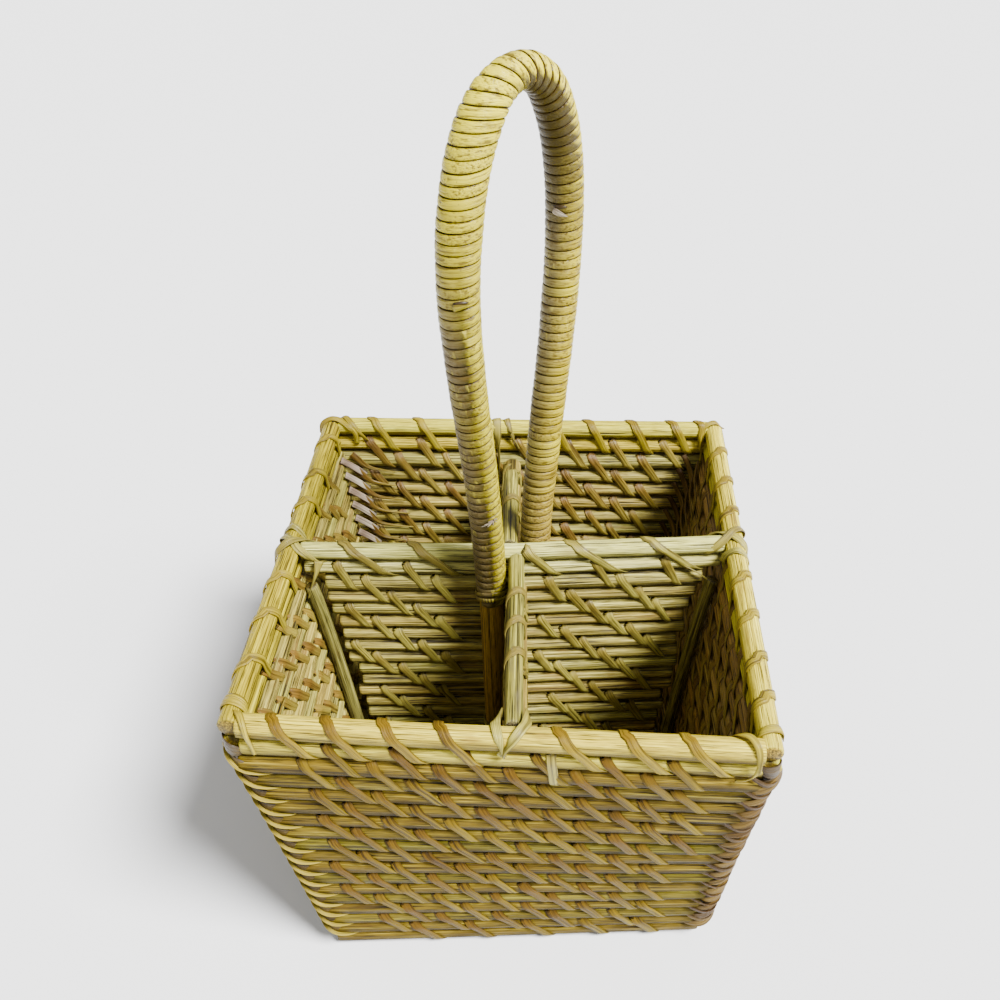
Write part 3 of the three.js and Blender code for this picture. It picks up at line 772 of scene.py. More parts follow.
# Straps: how far one lies from the middle of a rim rod, and the height of the rod under it
OVER = RIM_HALF + RIM_STRAP_STAND
UNDER = -2 * RIM_HALF - SEAT
RIM_STRAPS = {
    "front_left": (
        ([(OVER, -9.0, -OVER * 0.4), (OVER * 0.8, -9.0, OVER * 0.6), (0.0, -8.4, OVER),
          (-OVER * 0.8, -7.5, OVER * 0.6), (-OVER, -6.5, -1.0), (-OVER * 0.9, -5.5, -6.0)], 6.0, 0.9),
        ([(-2.0, -OVER, 2.0), (-3.0, -OVER * 0.6, OVER * 0.8), (-5.0, 0.0, OVER),
          (-7.0, OVER * 0.7, OVER * 0.7), (-8.0, OVER * 1.02, 0.0), (-8.5, OVER * 0.9, -OVER),
          (-9.5, OVER * 1.02, UNDER)], 3.6, 0.4),
    ),
    "front_right": (
        ([(-15.0, -OVER * 0.9, -1.0), (-13.0, -OVER * 0.7, OVER * 0.8), (-9.0, -OVER * 0.2, OVER * 1.3),
          (-6.4, OVER * 0.6, OVER * 1.1), (-5.4, OVER * 1.1, 0.0), (-6.0, OVER * 1.15, -OVER * 1.2),
          (-9.5, OVER * 1.1, UNDER - 1), (-14.0, OVER * 0.95, UNDER - 3.5)], 3.8, 0.35),
        ([(OVER, -8.0, -1.5), (OVER * 0.8, -7.4, OVER * 0.65), (0.0, -6.4, OVER * 1.05),
          (-OVER * 0.8, -5.4, OVER * 0.7), (-OVER * 1.05, -4.6, -1.0)], 4.2, 0.9),
    ),
    "back_left": (
        ([(OVER, -3.0, -3.0), (OVER * 0.85, -2.6, OVER * 0.6), (0.5, -1.5, OVER * 1.1),
          (-OVER, -2.0, OVER * 0.95), (-OVER * 1.9, -OVER * 0.9, OVER * 0.5),
          (-OVER * 2.6, -OVER * 1.1, -1.5), (-OVER * 2.7, -OVER * 1.05, -8.0)], 4.4, 0.6),
        ([(-OVER, -1.0, 2.5), (-OVER * 1.4, 0.2, OVER * 1.1), (-OVER * 2.2, -OVER * 0.7, OVER * 0.8),
          (-OVER * 3.0, -OVER * 1.1, -0.5), (-OVER * 3.9, -OVER * 1.0, -6.0)], 4.0, 0.5),
    ),
    "back_right": (
        ([(OVER * 0.9, 0.5, 1.0), (0.0, -0.6, OVER * 1.1), (-OVER * 1.1, -2.6, OVER * 0.7),
          (-OVER * 1.2, -5.0, -2.0), (-OVER * 1.15, -8.5, -9.0), (-OVER * 1.1, -9.5, -18.0)], 4.2, 0.3),
        ([(-OVER * 2.0, OVER * 0.5, OVER * 0.85), (-OVER * 1.4, -OVER * 0.4, OVER),
          (-OVER * 1.5, -OVER * 1.1, -1.0), (-OVER * 1.3, -OVER * 1.6, -8.0)], 3.8, 0.5),
    ),
}


# Handle


def centripetal(points, samples):
    """Points along a centripetal curve through control points."""
    points = np.asarray(points, dtype=float)
    padded = np.concatenate(([2 * points[0] - points[1]], points, [2 * points[-1] - points[-2]]))
    gaps = np.linalg.norm(np.diff(padded, axis=0), axis=1) ** 0.5
    found = []
    for value in np.linspace(0, len(points) - 1, samples):
        i = min(int(value), len(points) - 2)
        t = value - i
        x0, x1, x2, x3 = padded[i:i + 4]
        d0, d1, d2 = gaps[i:i + 3]
        m1 = ((x1 - x0) / d0 - (x2 - x0) / (d0 + d1) + (x2 - x1) / d1) * d1
        m2 = ((x2 - x1) / d1 - (x3 - x1) / (d1 + d2) + (x3 - x2) / d2) * d1
        c2 = -3 * x1 + 3 * x2 - 2 * m1 - m2
        c3 = 2 * x1 - 2 * x2 + m1 + m2
        found.append(x1 + m1 * t + c2 * t ** 2 + c3 * t ** 3)
    return np.array(found)


def limb_place(sense):
    """Plan position of a limb beside the divider: sense -1 is the front left, +1 the back right."""
    edge = sense * (LIMB_SIDE + WINDING_OUTER)
    clear = DIVIDER_HALF + SEAT + WINDING_OUTER
    return np.array((sense * LIMB_SIDE, divider_line(edge, RIM_HEIGHT) + sense * clear))


LEFT_LIMB = limb_place(-1)
RIGHT_LIMB = limb_place(1)
HANDLE_MIDDLE = (LEFT_LIMB + RIGHT_LIMB) / 2
HANDLE_ACROSS = unit(RIGHT_LIMB - LEFT_LIMB)
HANDLE_NORMAL = np.array((HANDLE_ACROSS[1], -HANDLE_ACROSS[0], 0.0))
LIMB_HALF_GAP = np.linalg.norm(RIGHT_LIMB - LEFT_LIMB) / 2
FRONT_LIMB_EDGE = LEFT_LIMB[1] - WINDING_OUTER
REAR_LIMB_EDGE = RIGHT_LIMB[1] + WINDING_OUTER


def handle_point(offset, z):
    """Point of the hoop at an offset across it and a height; it leans forward as it rises."""
    rise = max(0.0, z - RIM_HEIGHT) / (HANDLE_TOP - RIM_HEIGHT)
    plan = HANDLE_MIDDLE + HANDLE_ACROSS * offset
    return np.array((plan[0], plan[1], z)) + HANDLE_NORMAL * HANDLE_LEAN * rise ** 2


def limb_profile(sense):
    """Offsets and heights of a limb from its foot up to the arch."""
    straight = [(0.0, z) for z in (FLOOR_TOP + SEAT, RIM_HEIGHT / 2, RIM_HEIGHT)]
    flared = [(flare, RIM_HEIGHT + rise) for rise, flare in LIMB_FLARES[sense]]
    return [(sense * (LIMB_HALF_GAP + flare), z) for flare, z in straight + flared]


def handle_profile():
    """Offsets and heights of the hoop from its left foot over the arch to its right."""
    arch = []
    for i in range(ARCH_STEPS + 1):
        angle = math.pi * (1 - i / ARCH_STEPS)
        across = math.copysign(abs(math.cos(angle)) ** ARCH_FULLNESS, math.cos(angle))
        rise = math.sin(angle) ** ARCH_FULLNESS if 0 < i < ARCH_STEPS else 0.0
        arch.append((HANDLE_HALF_SPAN * across, HANDLE_SPRINGLINE + (HANDLE_TOP - HANDLE_SPRINGLINE) * rise))
    return limb_profile(-1) + arch + limb_profile(1)[::-1]


HANDLE_LINE = centripetal([handle_point(offset, z) for offset, z in handle_profile()], HANDLE_SAMPLES)
HANDLE_TANGENTS = tangents(HANDLE_LINE)
HANDLE_DISTANCES = distances(HANDLE_LINE)
HANDLE_LENGTH = HANDLE_DISTANCES[-1]


def along_handle(distance, values):
    """Values given along the handle's line, read at other distances along it."""
    return np.stack([np.interp(distance, HANDLE_DISTANCES, column) for column in values.T], axis=-1)


def handle_frame(distance):
    """Middle, side and front of the handle at distances along it."""
    tangent = unit(along_handle(distance, HANDLE_TANGENTS))
    side = unit(np.cross(HANDLE_NORMAL, tangent))
    return along_handle(distance, HANDLE_LINE), side, np.cross(tangent, side)


def round_handle(distance, radius, angle):
    """Points on a turn round the handle, fuller and leaning as the winding is there."""
    from_top = distance - HANDLE_LENGTH / 2
    fullness = np.interp(from_top, *zip(*WINDING_FULLNESS))
    lean = np.interp(from_top, *zip(*WINDING_LEAN))
    middle, side, front = handle_frame(distance - lean * np.cos(angle))
    outward = np.cos(angle)[:, None] * side + np.sin(angle)[:, None] * front
    return middle + (radius + fullness)[:, None] * outward, outward


def build_handle(pole_material, cane_material):
    pole = Surface()
    path = along_handle(np.linspace(0, HANDLE_LENGTH, POLE_STEPS), HANDLE_LINE)
    add_reed(pole, path, POLE_RADIUS * POLE_SHARE, PLAIN_SHADE, HANDLE_NORMAL)
    pole.build("Pole", pole_material, ["handle_pole"])

    winding = Surface()
    start = UNDER_ROD_HEIGHT - WINDING_DROP + RIM_HALF
    pitch = (HANDLE_LENGTH - 2 * start) / (WINDING_TURNS + 1)
    turn = np.arange(WINDING_TURNS * WINDING_STEPS + 1) / WINDING_STEPS
    knots = np.arange(WINDING_TURNS + 2)
    drift = np.interp(turn, knots, chance.uniform(-TURN_DRIFT, TURN_DRIFT, len(knots)))
    swell = np.interp(turn, knots, chance.uniform(-TURN_SWELL, TURN_SWELL, len(knots)))
    angle = turn * 2 * math.pi
    distance = start + pitch * (turn + 0.5 + drift)
    radius = WINDING_INNER + swell
    path, outward = round_handle(distance, radius, angle)
    before, _ = round_handle(distance - pitch / 2, radius, angle)
    after, _ = round_handle(distance + pitch / 2, radius, angle)
    width = np.linalg.norm(square_to(tangents(path), after - before), axis=1) * WINDING_COVER
    shade = np.interp(turn, knots, chance.uniform(0, 1, len(knots)))
    thickness = WINDING_OUTER - WINDING_INNER
    add_strip(winding, path, outward, width, thickness, WOUND_SECTION, WOUND_EDGE, shade, turn % 1)
    winding.build("HandleWinding", cane_material, ["handle_winding"])

    loops = Surface()
    around = np.linspace(0, LOOP_TURN, LOOP_STEPS)
    for end, sense in ((start, 1), (HANDLE_LENGTH - start, -1)):
        for slant, shift in LOOPS:
            hang = shift + slant * np.cos(around - LOOP_FACING)
            path, outward = round_handle(end + sense * hang, WINDING_OUTER, around)
            add_cane(loops, path, outward, LOOP_WIDTH, chance.uniform())
    loops.build("WindingLoops", cane_material)


def limb_distance(sense, z):
    """Distance along the handle at a height on its left limb, sense -1, or its right."""
    rise = HANDLE_LINE[:len(HANDLE_LINE) // 2, 2]
    found = np.interp(z, rise, HANDLE_DISTANCES[:len(rise)])
    return found if sense < 0 else HANDLE_LENGTH - found


# Loose ends on the handle; a lift is how far an end stands off the winding at its tip, and a lifted
# end has the sense of its limb, a height, and in degrees its start round the handle and its sweep
LOOSE_STEPS = 7
FRAY_HEIGHT = 201.5
FRAY_ANGLE = math.radians(72)
FRAY_HEADINGS = (3.5, 3.35, 3.75, 2.9, 4.3, 0.6, 5.4, 1.6)
FRAY_REACHES = (5.4, 4.1, 3.6, 2.6, 2.4, 1.5, 1.6, 1.3)
FRAY_LIFT = 1.1
FRAY_WIDTH = 0.45
FRAY_FULLNESS = 1.2
LIFTED_ENDS = {"left": (-1, 308.0, 30, 40), "right": (1, 326.0, 175, -42)}
LIFTED_SINK = 0.2
LIFTED_LIFT = 1.2
LIFTED_DRIFT = 1.5
LIFTED_WIDTH = 2.6
LIFTED_FULLNESS = 1.05
LIFTED_SHADE = 1.0
# Dark strip laid on the winding above each lifted end for the break there: painted shade
NICK_RISE = 1.9
NICK_SINK = 0.3
NICK_WIDTH = 1.5
NICK_SPAN = (0.1, 0.8)


def build_loose_ends():
    """Split fibres low on the front limb, and two strip ends that lift off under a break in the winding."""
    fibres = Surface()
    share = np.linspace(0, 1, LOOSE_STEPS)
    for heading, reach in zip(FRAY_HEADINGS, FRAY_REACHES):
        distance = limb_distance(-1, FRAY_HEIGHT) + reach * math.sin(heading) * share
        angle = FRAY_ANGLE + reach * math.cos(heading) * share / WINDING_OUTER
        path, outward = round_handle(distance, WINDING_OUTER + FRAY_LIFT * share, angle)
        add_cane(fibres, path, outward, FRAY_WIDTH * (FRAY_FULLNESS - share), chance.uniform())
    fibres.build("FrayedFibres", SLAT_CANE)

    nicks = Surface()
    for name, (sense, z, start, sweep) in LIFTED_ENDS.items():
        angle = np.radians(start + sweep * share)
        end = Surface()
        distance = limb_distance(sense, z) + LIFTED_DRIFT * share
        path, outward = round_handle(distance, WINDING_OUTER - LIFTED_SINK + LIFTED_LIFT * share, angle)
        add_cane(end, path, outward, LIFTED_WIDTH * (LIFTED_FULLNESS - share ** 2), LIFTED_SHADE)
        end.build(f"LiftedEnd_{name}", SLAT_CANE if sense > 0 else WINDING)
        # The break above each lifted end is a dark strip on the winding: painted shade
        gap = limb_distance(sense, z + NICK_RISE) + 0 * share
        path, outward = round_handle(gap, WINDING_OUTER - NICK_SINK + 0 * share, angle)
        first, rest = NICK_SPAN
        breadth = NICK_WIDTH * np.sin(math.pi * (first + rest * share))
        add_cane(nicks, path, outward, breadth, PLAIN_SHADE)
    nicks.build("WindingNicks", CORE_CANE)


# Materials


# Streaks, fibres and blotches: how closely each varies along a piece and across it, and its detail
GRAINS = ((18.0, 1100.0, 3.0), (70.0, 3600.0, 2.0), (45.0, 130.0, 3.0))
GRAIN_LAYERS = 61.0
NOISE_ROUGHNESS = 0.55

# Colour sockets of the mix node
MIX_COLOURS = (6, 7)
MIX_RESULT = 2

# Looks of a reed: a span of a grain and what it is carried to, a scale and detail for the cut ends,
# and for the relief the shares of streaks and fibres and a depth in metres
REED_STOPS = (0.37, 0.46, 0.55, 0.68)
RIM_STOPS = (0.33, 0.43, 0.54, 0.68)
FRONT_STOPS = (0.34, 0.46, 0.56, 0.7)
TINT_STOPS = (0.0, 0.35, 0.7, 1.0)
TINT_SHARE = 0.85
REED_THREADS = (0.36, 0.46, 1.0, 0.0)
REED_STAINS = (0.58, 0.72, 0.0, 0.6)
# Share of the painted shade in the grooves, carried from a span of the blotches
GROOVE_SHADE_SPAN = (0.3, 0.6, 0.65, 0.98)
REED_ROUGHNESS = (0.3, 0.7, 0.34, 0.56)
REED_RELIEF = (0.7, 0.4, 0.0012)
REED_GLOSS = 0.36
CUT_GRAIN = (1400.0, 2.0)
CUT_STOPS = (0.4, 0.62, 0.8)

# Looks of a strip, in the same way; its edging, which lays on the painted edge colour, is a power and a share
CANE_STOPS = (0.05, 0.45, 0.95)
CANE_SHIFT = (0.0, 1.0, -0.3, 0.35)
CANE_STREAKS = (0.5, 0.34, 0.0, 0.8)
CANE_THREADS = (0.44, 0.34, 0.0, 0.6)
CANE_BLOTCHES = (0.55, 0.75, 0.0, 0.5)
CANE_EDGING = (3.0, 0.7)
CANE_ROUGHNESS = (0.3, 0.7, 0.32, 0.5)
CANE_RELIEF = (1.0, 0.4, 0.001)
CANE_GLOSS = 0.3


class Graph:
    """Short way to add and link shader nodes."""

    def __init__(self, name):
        self.material = bpy.data.materials.new(name)
        self.material.use_nodes = True
        self.nodes = self.material.node_tree.nodes
        self.links = self.material.node_tree.links
        self.shader = self.nodes["Principled BSDF"]

    def link(self, value, socket):
        if isinstance(value, bpy.types.NodeSocket):
            self.links.new(value, socket)
        else:
            socket.default_value = value

    def coords(self):
        node = self.nodes.new("ShaderNodeUVMap")
        node.uv_map = "Along"
        return self.split(node.outputs["UV"])

    def finish(self):
        node = self.nodes.new("ShaderNodeAttribute")
        node.attribute_name = "finish"
        return self.split(node.outputs["Vector"])

    def place(self):
        return self.nodes.new("ShaderNodeTexCoord").outputs["Object"]

    def split(self, vector):
        node = self.nodes.new("ShaderNodeSeparateXYZ")
        self.link(vector, node.inputs[0])
        return node.outputs

    def joined(self, x, y, z):
        node = self.nodes.new("ShaderNodeCombineXYZ")
        for value, socket in zip((x, y, z), node.inputs):
            self.link(value, socket)
        return node.outputs[0]

    def math(self, operation, a, b):
        node = self.nodes.new("ShaderNodeMath")
        node.operation = operation
        self.link(a, node.inputs[0])
        self.link(b, node.inputs[1])
        return node.outputs[0]

    def times(self, a, b):
        return self.math("MULTIPLY", a, b)

    def noise(self, vector, scale, detail):
        node = self.nodes.new("ShaderNodeTexNoise")
        self.link(vector, node.inputs["Vector"])
        node.inputs["Scale"].default_value = scale
        node.inputs["Detail"].default_value = detail
        node.inputs["Roughness"].default_value = NOISE_ROUGHNESS
        return node.outputs["Fac"]

    def span(self, value, low, high, start=0.0, end=1.0):
        """Value carried from one range to another, and held at its ends."""
        node = self.nodes.new("ShaderNodeMapRange")
        for socket, given in zip(node.inputs, (value, low, high, start, end)):
            self.link(given, socket)
        return node.outputs[0]

    def ramp(self, value, stops):
        node = self.nodes.new("ShaderNodeValToRGB")
        self.link(value, node.inputs[0])
        elements = node.color_ramp.elements
        stops = tuple(stops)
        while len(elements) < len(stops):
            elements.new(1.0)
        for element, (place, colour) in zip(elements, stops):
            element.position = place
            element.color = (*colour, 1.0)
        return node.outputs["Color"]

    def mix(self, share, a, b, blend="MIX"):
        node = self.nodes.new("ShaderNodeMix")
        node.data_type = "RGBA"
        node.blend_type = blend
        self.link(share, node.inputs["Factor"])
        for value, socket in zip((a, b), MIX_COLOURS):
            colour = value if isinstance(value, bpy.types.NodeSocket) else (*value, 1.0)
            self.link(colour, node.inputs[socket])
        return node.outputs[MIX_RESULT]

    def tinted(self, base, field, span, colour):
        """Colour that gives way to another over a span of a field."""
        return self.mix(self.span(field, *span), base, colour)

    def finished(self, colour, roughness, fields, relief, gloss):
        """Material with its colour, and with streaks and fibres raised by their shares of a depth."""
        streak_share, fibre_share, depth = relief
        streak, fibre = fields
        bump = self.nodes.new("ShaderNodeBump")
        bump.inputs["Distance"].default_value = depth
        height = self.math("ADD", self.times(streak, streak_share), self.times(fibre, fibre_share))
        self.link(height, bump.inputs["Height"])
        self.link(bump.outputs["Normal"], self.shader.inputs["Normal"])
        self.link(colour, self.shader.inputs["Base Color"])
        self.link(roughness, self.shader.inputs["Roughness"])
        self.shader.inputs["Specular IOR Level"].default_value = gloss
        return self.material


def grain_fields(graph):
    """Lengthwise streaks, fine fibres and soft blotches, all different on each piece."""
    u, v, _ = graph.coords()
    shade, progress, edge = graph.finish()
    layer = graph.times(shade, GRAIN_LAYERS)
    fields = []
    for along, across, detail in GRAINS:
        place = graph.joined(graph.times(u, along), graph.times(v, across), layer)
        fields.append(graph.noise(place, 1.0, detail))
    return *fields, shade, progress, edge


def reed_material(
    name, dark, middle, pale, tints, stain, gloss=REED_GLOSS, stops=REED_STOPS, groove=None,
):
    """Dried reed, streaked lengthwise and tinted one by one, with grained cuts, and painted shade in its
    groove's colour.
    """
    graph = Graph(name)
    streak, fibre, blotch, shade, painted_shade, cut = grain_fields(graph)
    groove = groove or dark
    base = graph.ramp(streak, zip(stops, (dark, middle, middle, pale)))
    base = graph.mix(TINT_SHARE, base, graph.ramp(shade, zip(TINT_STOPS, tints)), "MULTIPLY")
    base = graph.tinted(base, fibre, REED_THREADS, groove)
    base = graph.tinted(base, blotch, REED_STAINS, stain)
    grain = graph.ramp(graph.noise(graph.place(), *CUT_GRAIN), zip(CUT_STOPS, (dark, stain, middle)))
    base = graph.mix(cut, base, grain)
    # Painted shade in the grooves and on the lower and outer sides, in the groove colour
    base = graph.mix(graph.times(painted_shade, graph.span(blotch, *GROOVE_SHADE_SPAN)), base, groove)
    roughness = graph.span(blotch, *REED_ROUGHNESS)
    return graph.finished(base, roughness, (streak, fibre), REED_RELIEF, gloss)


def cane_material(name, head, middle, tail, painted_edge_colour, dark, gloss=CANE_GLOSS):
    """Split cane strip: browner at its head, yellower at its tail, with painted edges: contact shadow where
    the edge colour is dark, a highlight where it is pale.
    """
    graph = Graph(name)
    streak, fibre, blotch, shade, progress, edge = grain_fields(graph)
    place = graph.math("ADD", progress, graph.span(shade, *CANE_SHIFT))
    base = graph.ramp(place, zip(CANE_STOPS, (head, middle, tail)))
    base = graph.tinted(base, streak, CANE_STREAKS, dark)
    base = graph.tinted(base, fibre, CANE_THREADS, dark)
    base = graph.tinted(base, blotch, CANE_BLOTCHES, tail)
    power, share = CANE_EDGING
    # Painted light along the edges, in the painted edge colour
    base = graph.mix(graph.times(graph.math("POWER", edge, power), share), base, painted_edge_colour)
    roughness = graph.span(blotch, *CANE_ROUGHNESS)
    return graph.finished(base, roughness, (streak, fibre), CANE_RELIEF, gloss)


# Looks of the winding: for each part its spans of place in metres or of facing, and its colour
TURN_COLOURS = (
    (0.0, (0.23, 0.165, 0.001)), (0.35, (0.44, 0.345, 0.001)),
    (0.7, (0.33, 0.25, 0.001)), (1.0, (0.62, 0.52, 0.003)),
)
# Brighter top of the arch: a painted highlight
CREST_HIGHLIGHT = ((0.34, 0.375, 0.0, 0.65), (0.88, 0.74, 0.02))
RIGHT_LIMB_SPAN = (-0.004, 0.004)
LEFT_LIMB_LOOK = (0.35, (0.5, 0.45, 0.015))
LOW_RIGHT = ((0.225, 0.175, 0.0, 0.7), (0.3, 0.2, 0.045))
# Patches that vary the roughness as wear and break up the painted shade on the limbs
WEAR_AND_SHADE_PATCHES = (34.0, 3.0)
SHADE_PATCH_SPAN = (0.36, 0.52, 0.7, 1.0)
WORN_ROUGHNESS = (0.3, 0.7, 0.24, 0.38)
SPECKS = (420.0, 2.0)
# Down the limbs the sides that face away from the key light get painted shade: on the left limb a dark core
# that greys toward its left edge as a painted reflection, on the right limb a greyish brown
LEFT_TONES = ((-0.4, 0.2), (0.14, 0.105, 0.04), (0.035, 0.027, 0.002))
LEFT_SIDE = ((0.72, 0.2), (0.34, 0.29))
RIGHT_TONE = (0.15, 0.12, 0.05)
RIGHT_SIDE = ((0.55, -0.4), (0.18, 0.3, 0.6, 1.0))
# Under the arch on the right limb, where the surface turns away from the key light: painted shade; weights of
# facing right and up, then spans of that facing, of across and of height, and the colour
UNDERSIDE_FACING = (0.75, 0.66)
UNDERSIDE = ((0.74, 0.5), (0.001, 0.008), (0.305, 0.352, 0.0, 0.97), (0.04, 0.027, 0.001))
TURN_STREAKS = ((0.5, 0.36, 0.0, 0.8), (0.08, 0.048, 0.003))
TURN_SPECKS = ((0.66, 0.72, 0.0, 0.6), (0.09, 0.05, 0.004))
TURN_BLOTCHES = ((0.6, 0.74, 0.0, 0.5), (0.66, 0.56, 0.06))
# Darker shoulders of each turn along the seams between turns: painted shade
SEAM = (2.5, 0.85, (0.035, 0.018, 0.002))
WINDING_RELIEF = (1.0, 0.5, 0.0006)
WINDING_GLOSS = 0.18


def winding_material():
    """Glossy cane of the handle: yellow-tan, orange low on the right, with painted light on the crest, the
    limbs' sides, under the arch and in the seams.
    """
    graph = Graph("handle_cane")
    streak, fibre, blotch, shade, _, edge = grain_fields(graph)
    spot = graph.place()
    patch = graph.noise(spot, *WEAR_AND_SHADE_PATCHES)
    across, _, height = graph.split(spot)
    facing, _, upward = graph.split(graph.nodes.new("ShaderNodeNewGeometry").outputs["Normal"])
    # Turn tones, brightened at the top of the arch as a painted highlight
    base = graph.tinted(graph.ramp(shade, TURN_COLOURS), height, *CREST_HIGHLIGHT)
    right = graph.span(across, *RIGHT_LIMB_SPAN)
    left = graph.math("SUBTRACT", 1.0, right)
    share, colour = LEFT_LIMB_LOOK
    base = graph.mix(graph.times(left, share), base, colour)
    span, colour = LOW_RIGHT
    base = graph.mix(graph.times(graph.span(height, *span), right), base, colour)

    shade_patchiness = graph.span(patch, *SHADE_PATCH_SPAN)
    # Painted shade, with the left limb's painted reflection, on the sides of the limbs that face away from
    # the key light, in patches
    span, outer, inner = LEFT_TONES
    left_tone = graph.mix(graph.span(facing, *span), outer, inner)
    for limb, (turned, level), tone in ((left, LEFT_SIDE, left_tone), (right, RIGHT_SIDE, RIGHT_TONE)):
        side = graph.times(graph.span(facing, *turned), graph.span(height, *level))
        base = graph.mix(graph.times(graph.times(side, limb), shade_patchiness), base, tone)

    base = graph.tinted(base, streak, *TURN_STREAKS)
    base = graph.tinted(base, graph.noise(spot, *SPECKS), *TURN_SPECKS)
    base = graph.tinted(base, blotch, *TURN_BLOTCHES)
    # Painted shade under the arch on the right limb
    rightward, up = UNDERSIDE_FACING
    turned = graph.math("ADD", graph.times(facing, rightward), graph.times(upward, up))
    turned_span, across_span, height_span, colour = UNDERSIDE
    under = graph.times(graph.span(turned, *turned_span), graph.span(across, *across_span))
    base = graph.mix(graph.times(under, graph.span(height, *height_span)), base, colour)
    # Painted shade in the seams between turns
    power, share, colour = SEAM
    base = graph.mix(graph.times(graph.math("POWER", edge, power), share), base, colour)
    roughness = graph.span(patch, *WORN_ROUGHNESS)
    return graph.finished(base, roughness, (streak, fibre), WINDING_RELIEF, WINDING_GLOSS)


ROD_TINTS = ((0.86, 0.93, 0.76), (1.0, 1.0, 1.0), (1.0, 0.96, 0.85), (1.0, 0.9, 0.75))
REED_TINTS = ((0.76, 0.85, 0.62), (1.0, 1.0, 1.0), (1.0, 0.88, 0.75), (0.95, 0.8, 0.62))
RIM_REED = reed_material(
    "rim_reed", (0.055, 0.037, 0.004), (0.6, 0.49, 0.035), (0.96, 0.86, 0.1), ROD_TINTS,
    (0.32, 0.21, 0.02), gloss=0.2, stops=RIM_STOPS,
)
LEFT_RIM_REED = reed_material(
    "left_rim_reed", (0.045, 0.03, 0.003), (0.36, 0.285, 0.01), (0.64, 0.54, 0.03), ROD_TINTS,
    (0.24, 0.16, 0.012), gloss=0.2,
)
# Darker copy of the wall reed for the front wall, with a near-black groove colour: painted shade
FRONT_REED = reed_material(
    "front_reed", (0.042, 0.028, 0.003), (0.2, 0.148, 0.008), (0.5, 0.42, 0.045), REED_TINTS,
    (0.11, 0.058, 0.004), gloss=0.12, stops=FRONT_STOPS, groove=(0.012, 0.008, 0.001),
)
BACK_REED = reed_material(
    "back_reed", (0.032, 0.023, 0.005), (0.39, 0.32, 0.06), (0.74, 0.66, 0.15), REED_TINTS,
    (0.24, 0.13, 0.02),
)
BROWN_REED = reed_material(
    "brown_reed", (0.03, 0.017, 0.005), (0.3, 0.19, 0.05), (0.58, 0.43, 0.13), REED_TINTS,
    (0.2, 0.09, 0.02),
)
GREEN_REED = reed_material(
    "green_reed", (0.022, 0.018, 0.003), (0.19, 0.165, 0.035), (0.4, 0.36, 0.1), ROD_TINTS,
    (0.09, 0.06, 0.01),
)
PALE_ROD = reed_material(
    "pale_rod", (0.055, 0.046, 0.01), (0.66, 0.6, 0.15), (0.93, 0.88, 0.34), ROD_TINTS,
    (0.34, 0.28, 0.07),
)
GREY_ROD = reed_material(
    "grey_rod", (0.024, 0.019, 0.005), (0.27, 0.23, 0.035), (0.58, 0.52, 0.1), ROD_TINTS,
    (0.12, 0.1, 0.05),
)
# Each cane's dark edge colour paints contact shadow along a strip's edges; the corner cane's pale one paints
# a highlight
CANE = cane_material(
    "cane_strip", (0.2, 0.15, 0.02), (0.31, 0.26, 0.04), (0.42, 0.37, 0.06),
    (0.1, 0.075, 0.015), (0.05, 0.034, 0.005),
)
INSIDE_CANE = cane_material(
    "inside_cane", (0.15, 0.082, 0.012), (0.22, 0.15, 0.018), (0.34, 0.27, 0.035),
    (0.08, 0.045, 0.008), (0.04, 0.02, 0.003),
)
GOLDEN_CANE = cane_material(
    "golden_cane", (0.2, 0.135, 0.005), (0.3, 0.225, 0.008), (0.42, 0.335, 0.02),
    (0.1, 0.06, 0.003), (0.05, 0.028, 0.002),
)
RIM_CANE = cane_material(
    "rim_cane", (0.16, 0.094, 0.004), (0.25, 0.175, 0.007), (0.38, 0.29, 0.014),
    (0.05, 0.028, 0.001), (0.03, 0.015, 0.001), gloss=0.14,
)
# Darker copy of the cane for the lacing on the walls' outer faces: painted shade
SHADED_OUTSIDE_CANE = cane_material(
    "shaded_outside_cane", (0.1, 0.052, 0.003), (0.13, 0.081, 0.002), (0.2, 0.142, 0.004),
    (0.026, 0.014, 0.001), (0.016, 0.008, 0.001), gloss=0.1,
)
# Pale edge colour: a painted highlight along the edges
CORNER_CANE = cane_material(
    "corner_cane", (0.06, 0.03, 0.003), (0.1, 0.062, 0.004), (0.16, 0.11, 0.008),
    (0.34, 0.26, 0.03), (0.018, 0.008, 0.001), gloss=0.14,
)
DARK_CANE = cane_material(
    "dark_cane", (0.06, 0.03, 0.01), (0.1, 0.056, 0.014), (0.16, 0.1, 0.02),
    (0.03, 0.015, 0.004), (0.015, 0.007, 0.002), gloss=0.12,
)
# Near-black cane of the corner backing and of the breaks in the winding: painted shade
CORE_CANE = cane_material(
    "core_cane", (0.03, 0.015, 0.003), (0.05, 0.028, 0.005), (0.08, 0.05, 0.008),
    (0.02, 0.01, 0.002), (0.012, 0.006, 0.001),
)
SLAT_CANE = cane_material(
    "slat_cane", (0.24, 0.17, 0.12), (0.34, 0.27, 0.19), (0.42, 0.36, 0.25),
    (0.12, 0.08, 0.05), (0.05, 0.03, 0.015),
)
POLE = reed_material(
    "pole", (0.07, 0.04, 0.004), (0.36, 0.22, 0.022), (0.48, 0.31, 0.04), ROD_TINTS,
    (0.22, 0.12, 0.02),
)
WINDING = winding_material()


# Tub


# Reed of each wall, and the share of painted shade on its outer side
WALL_REEDS_OF = {
    "front": (FRONT_REED, 0.0),
    "back": (BACK_REED, OUTSIDE_SHADE),
    "left": (BACK_REED, OUTSIDE_SHADE),
    "right": (BROWN_REED, OUTSIDE_SHADE),
}


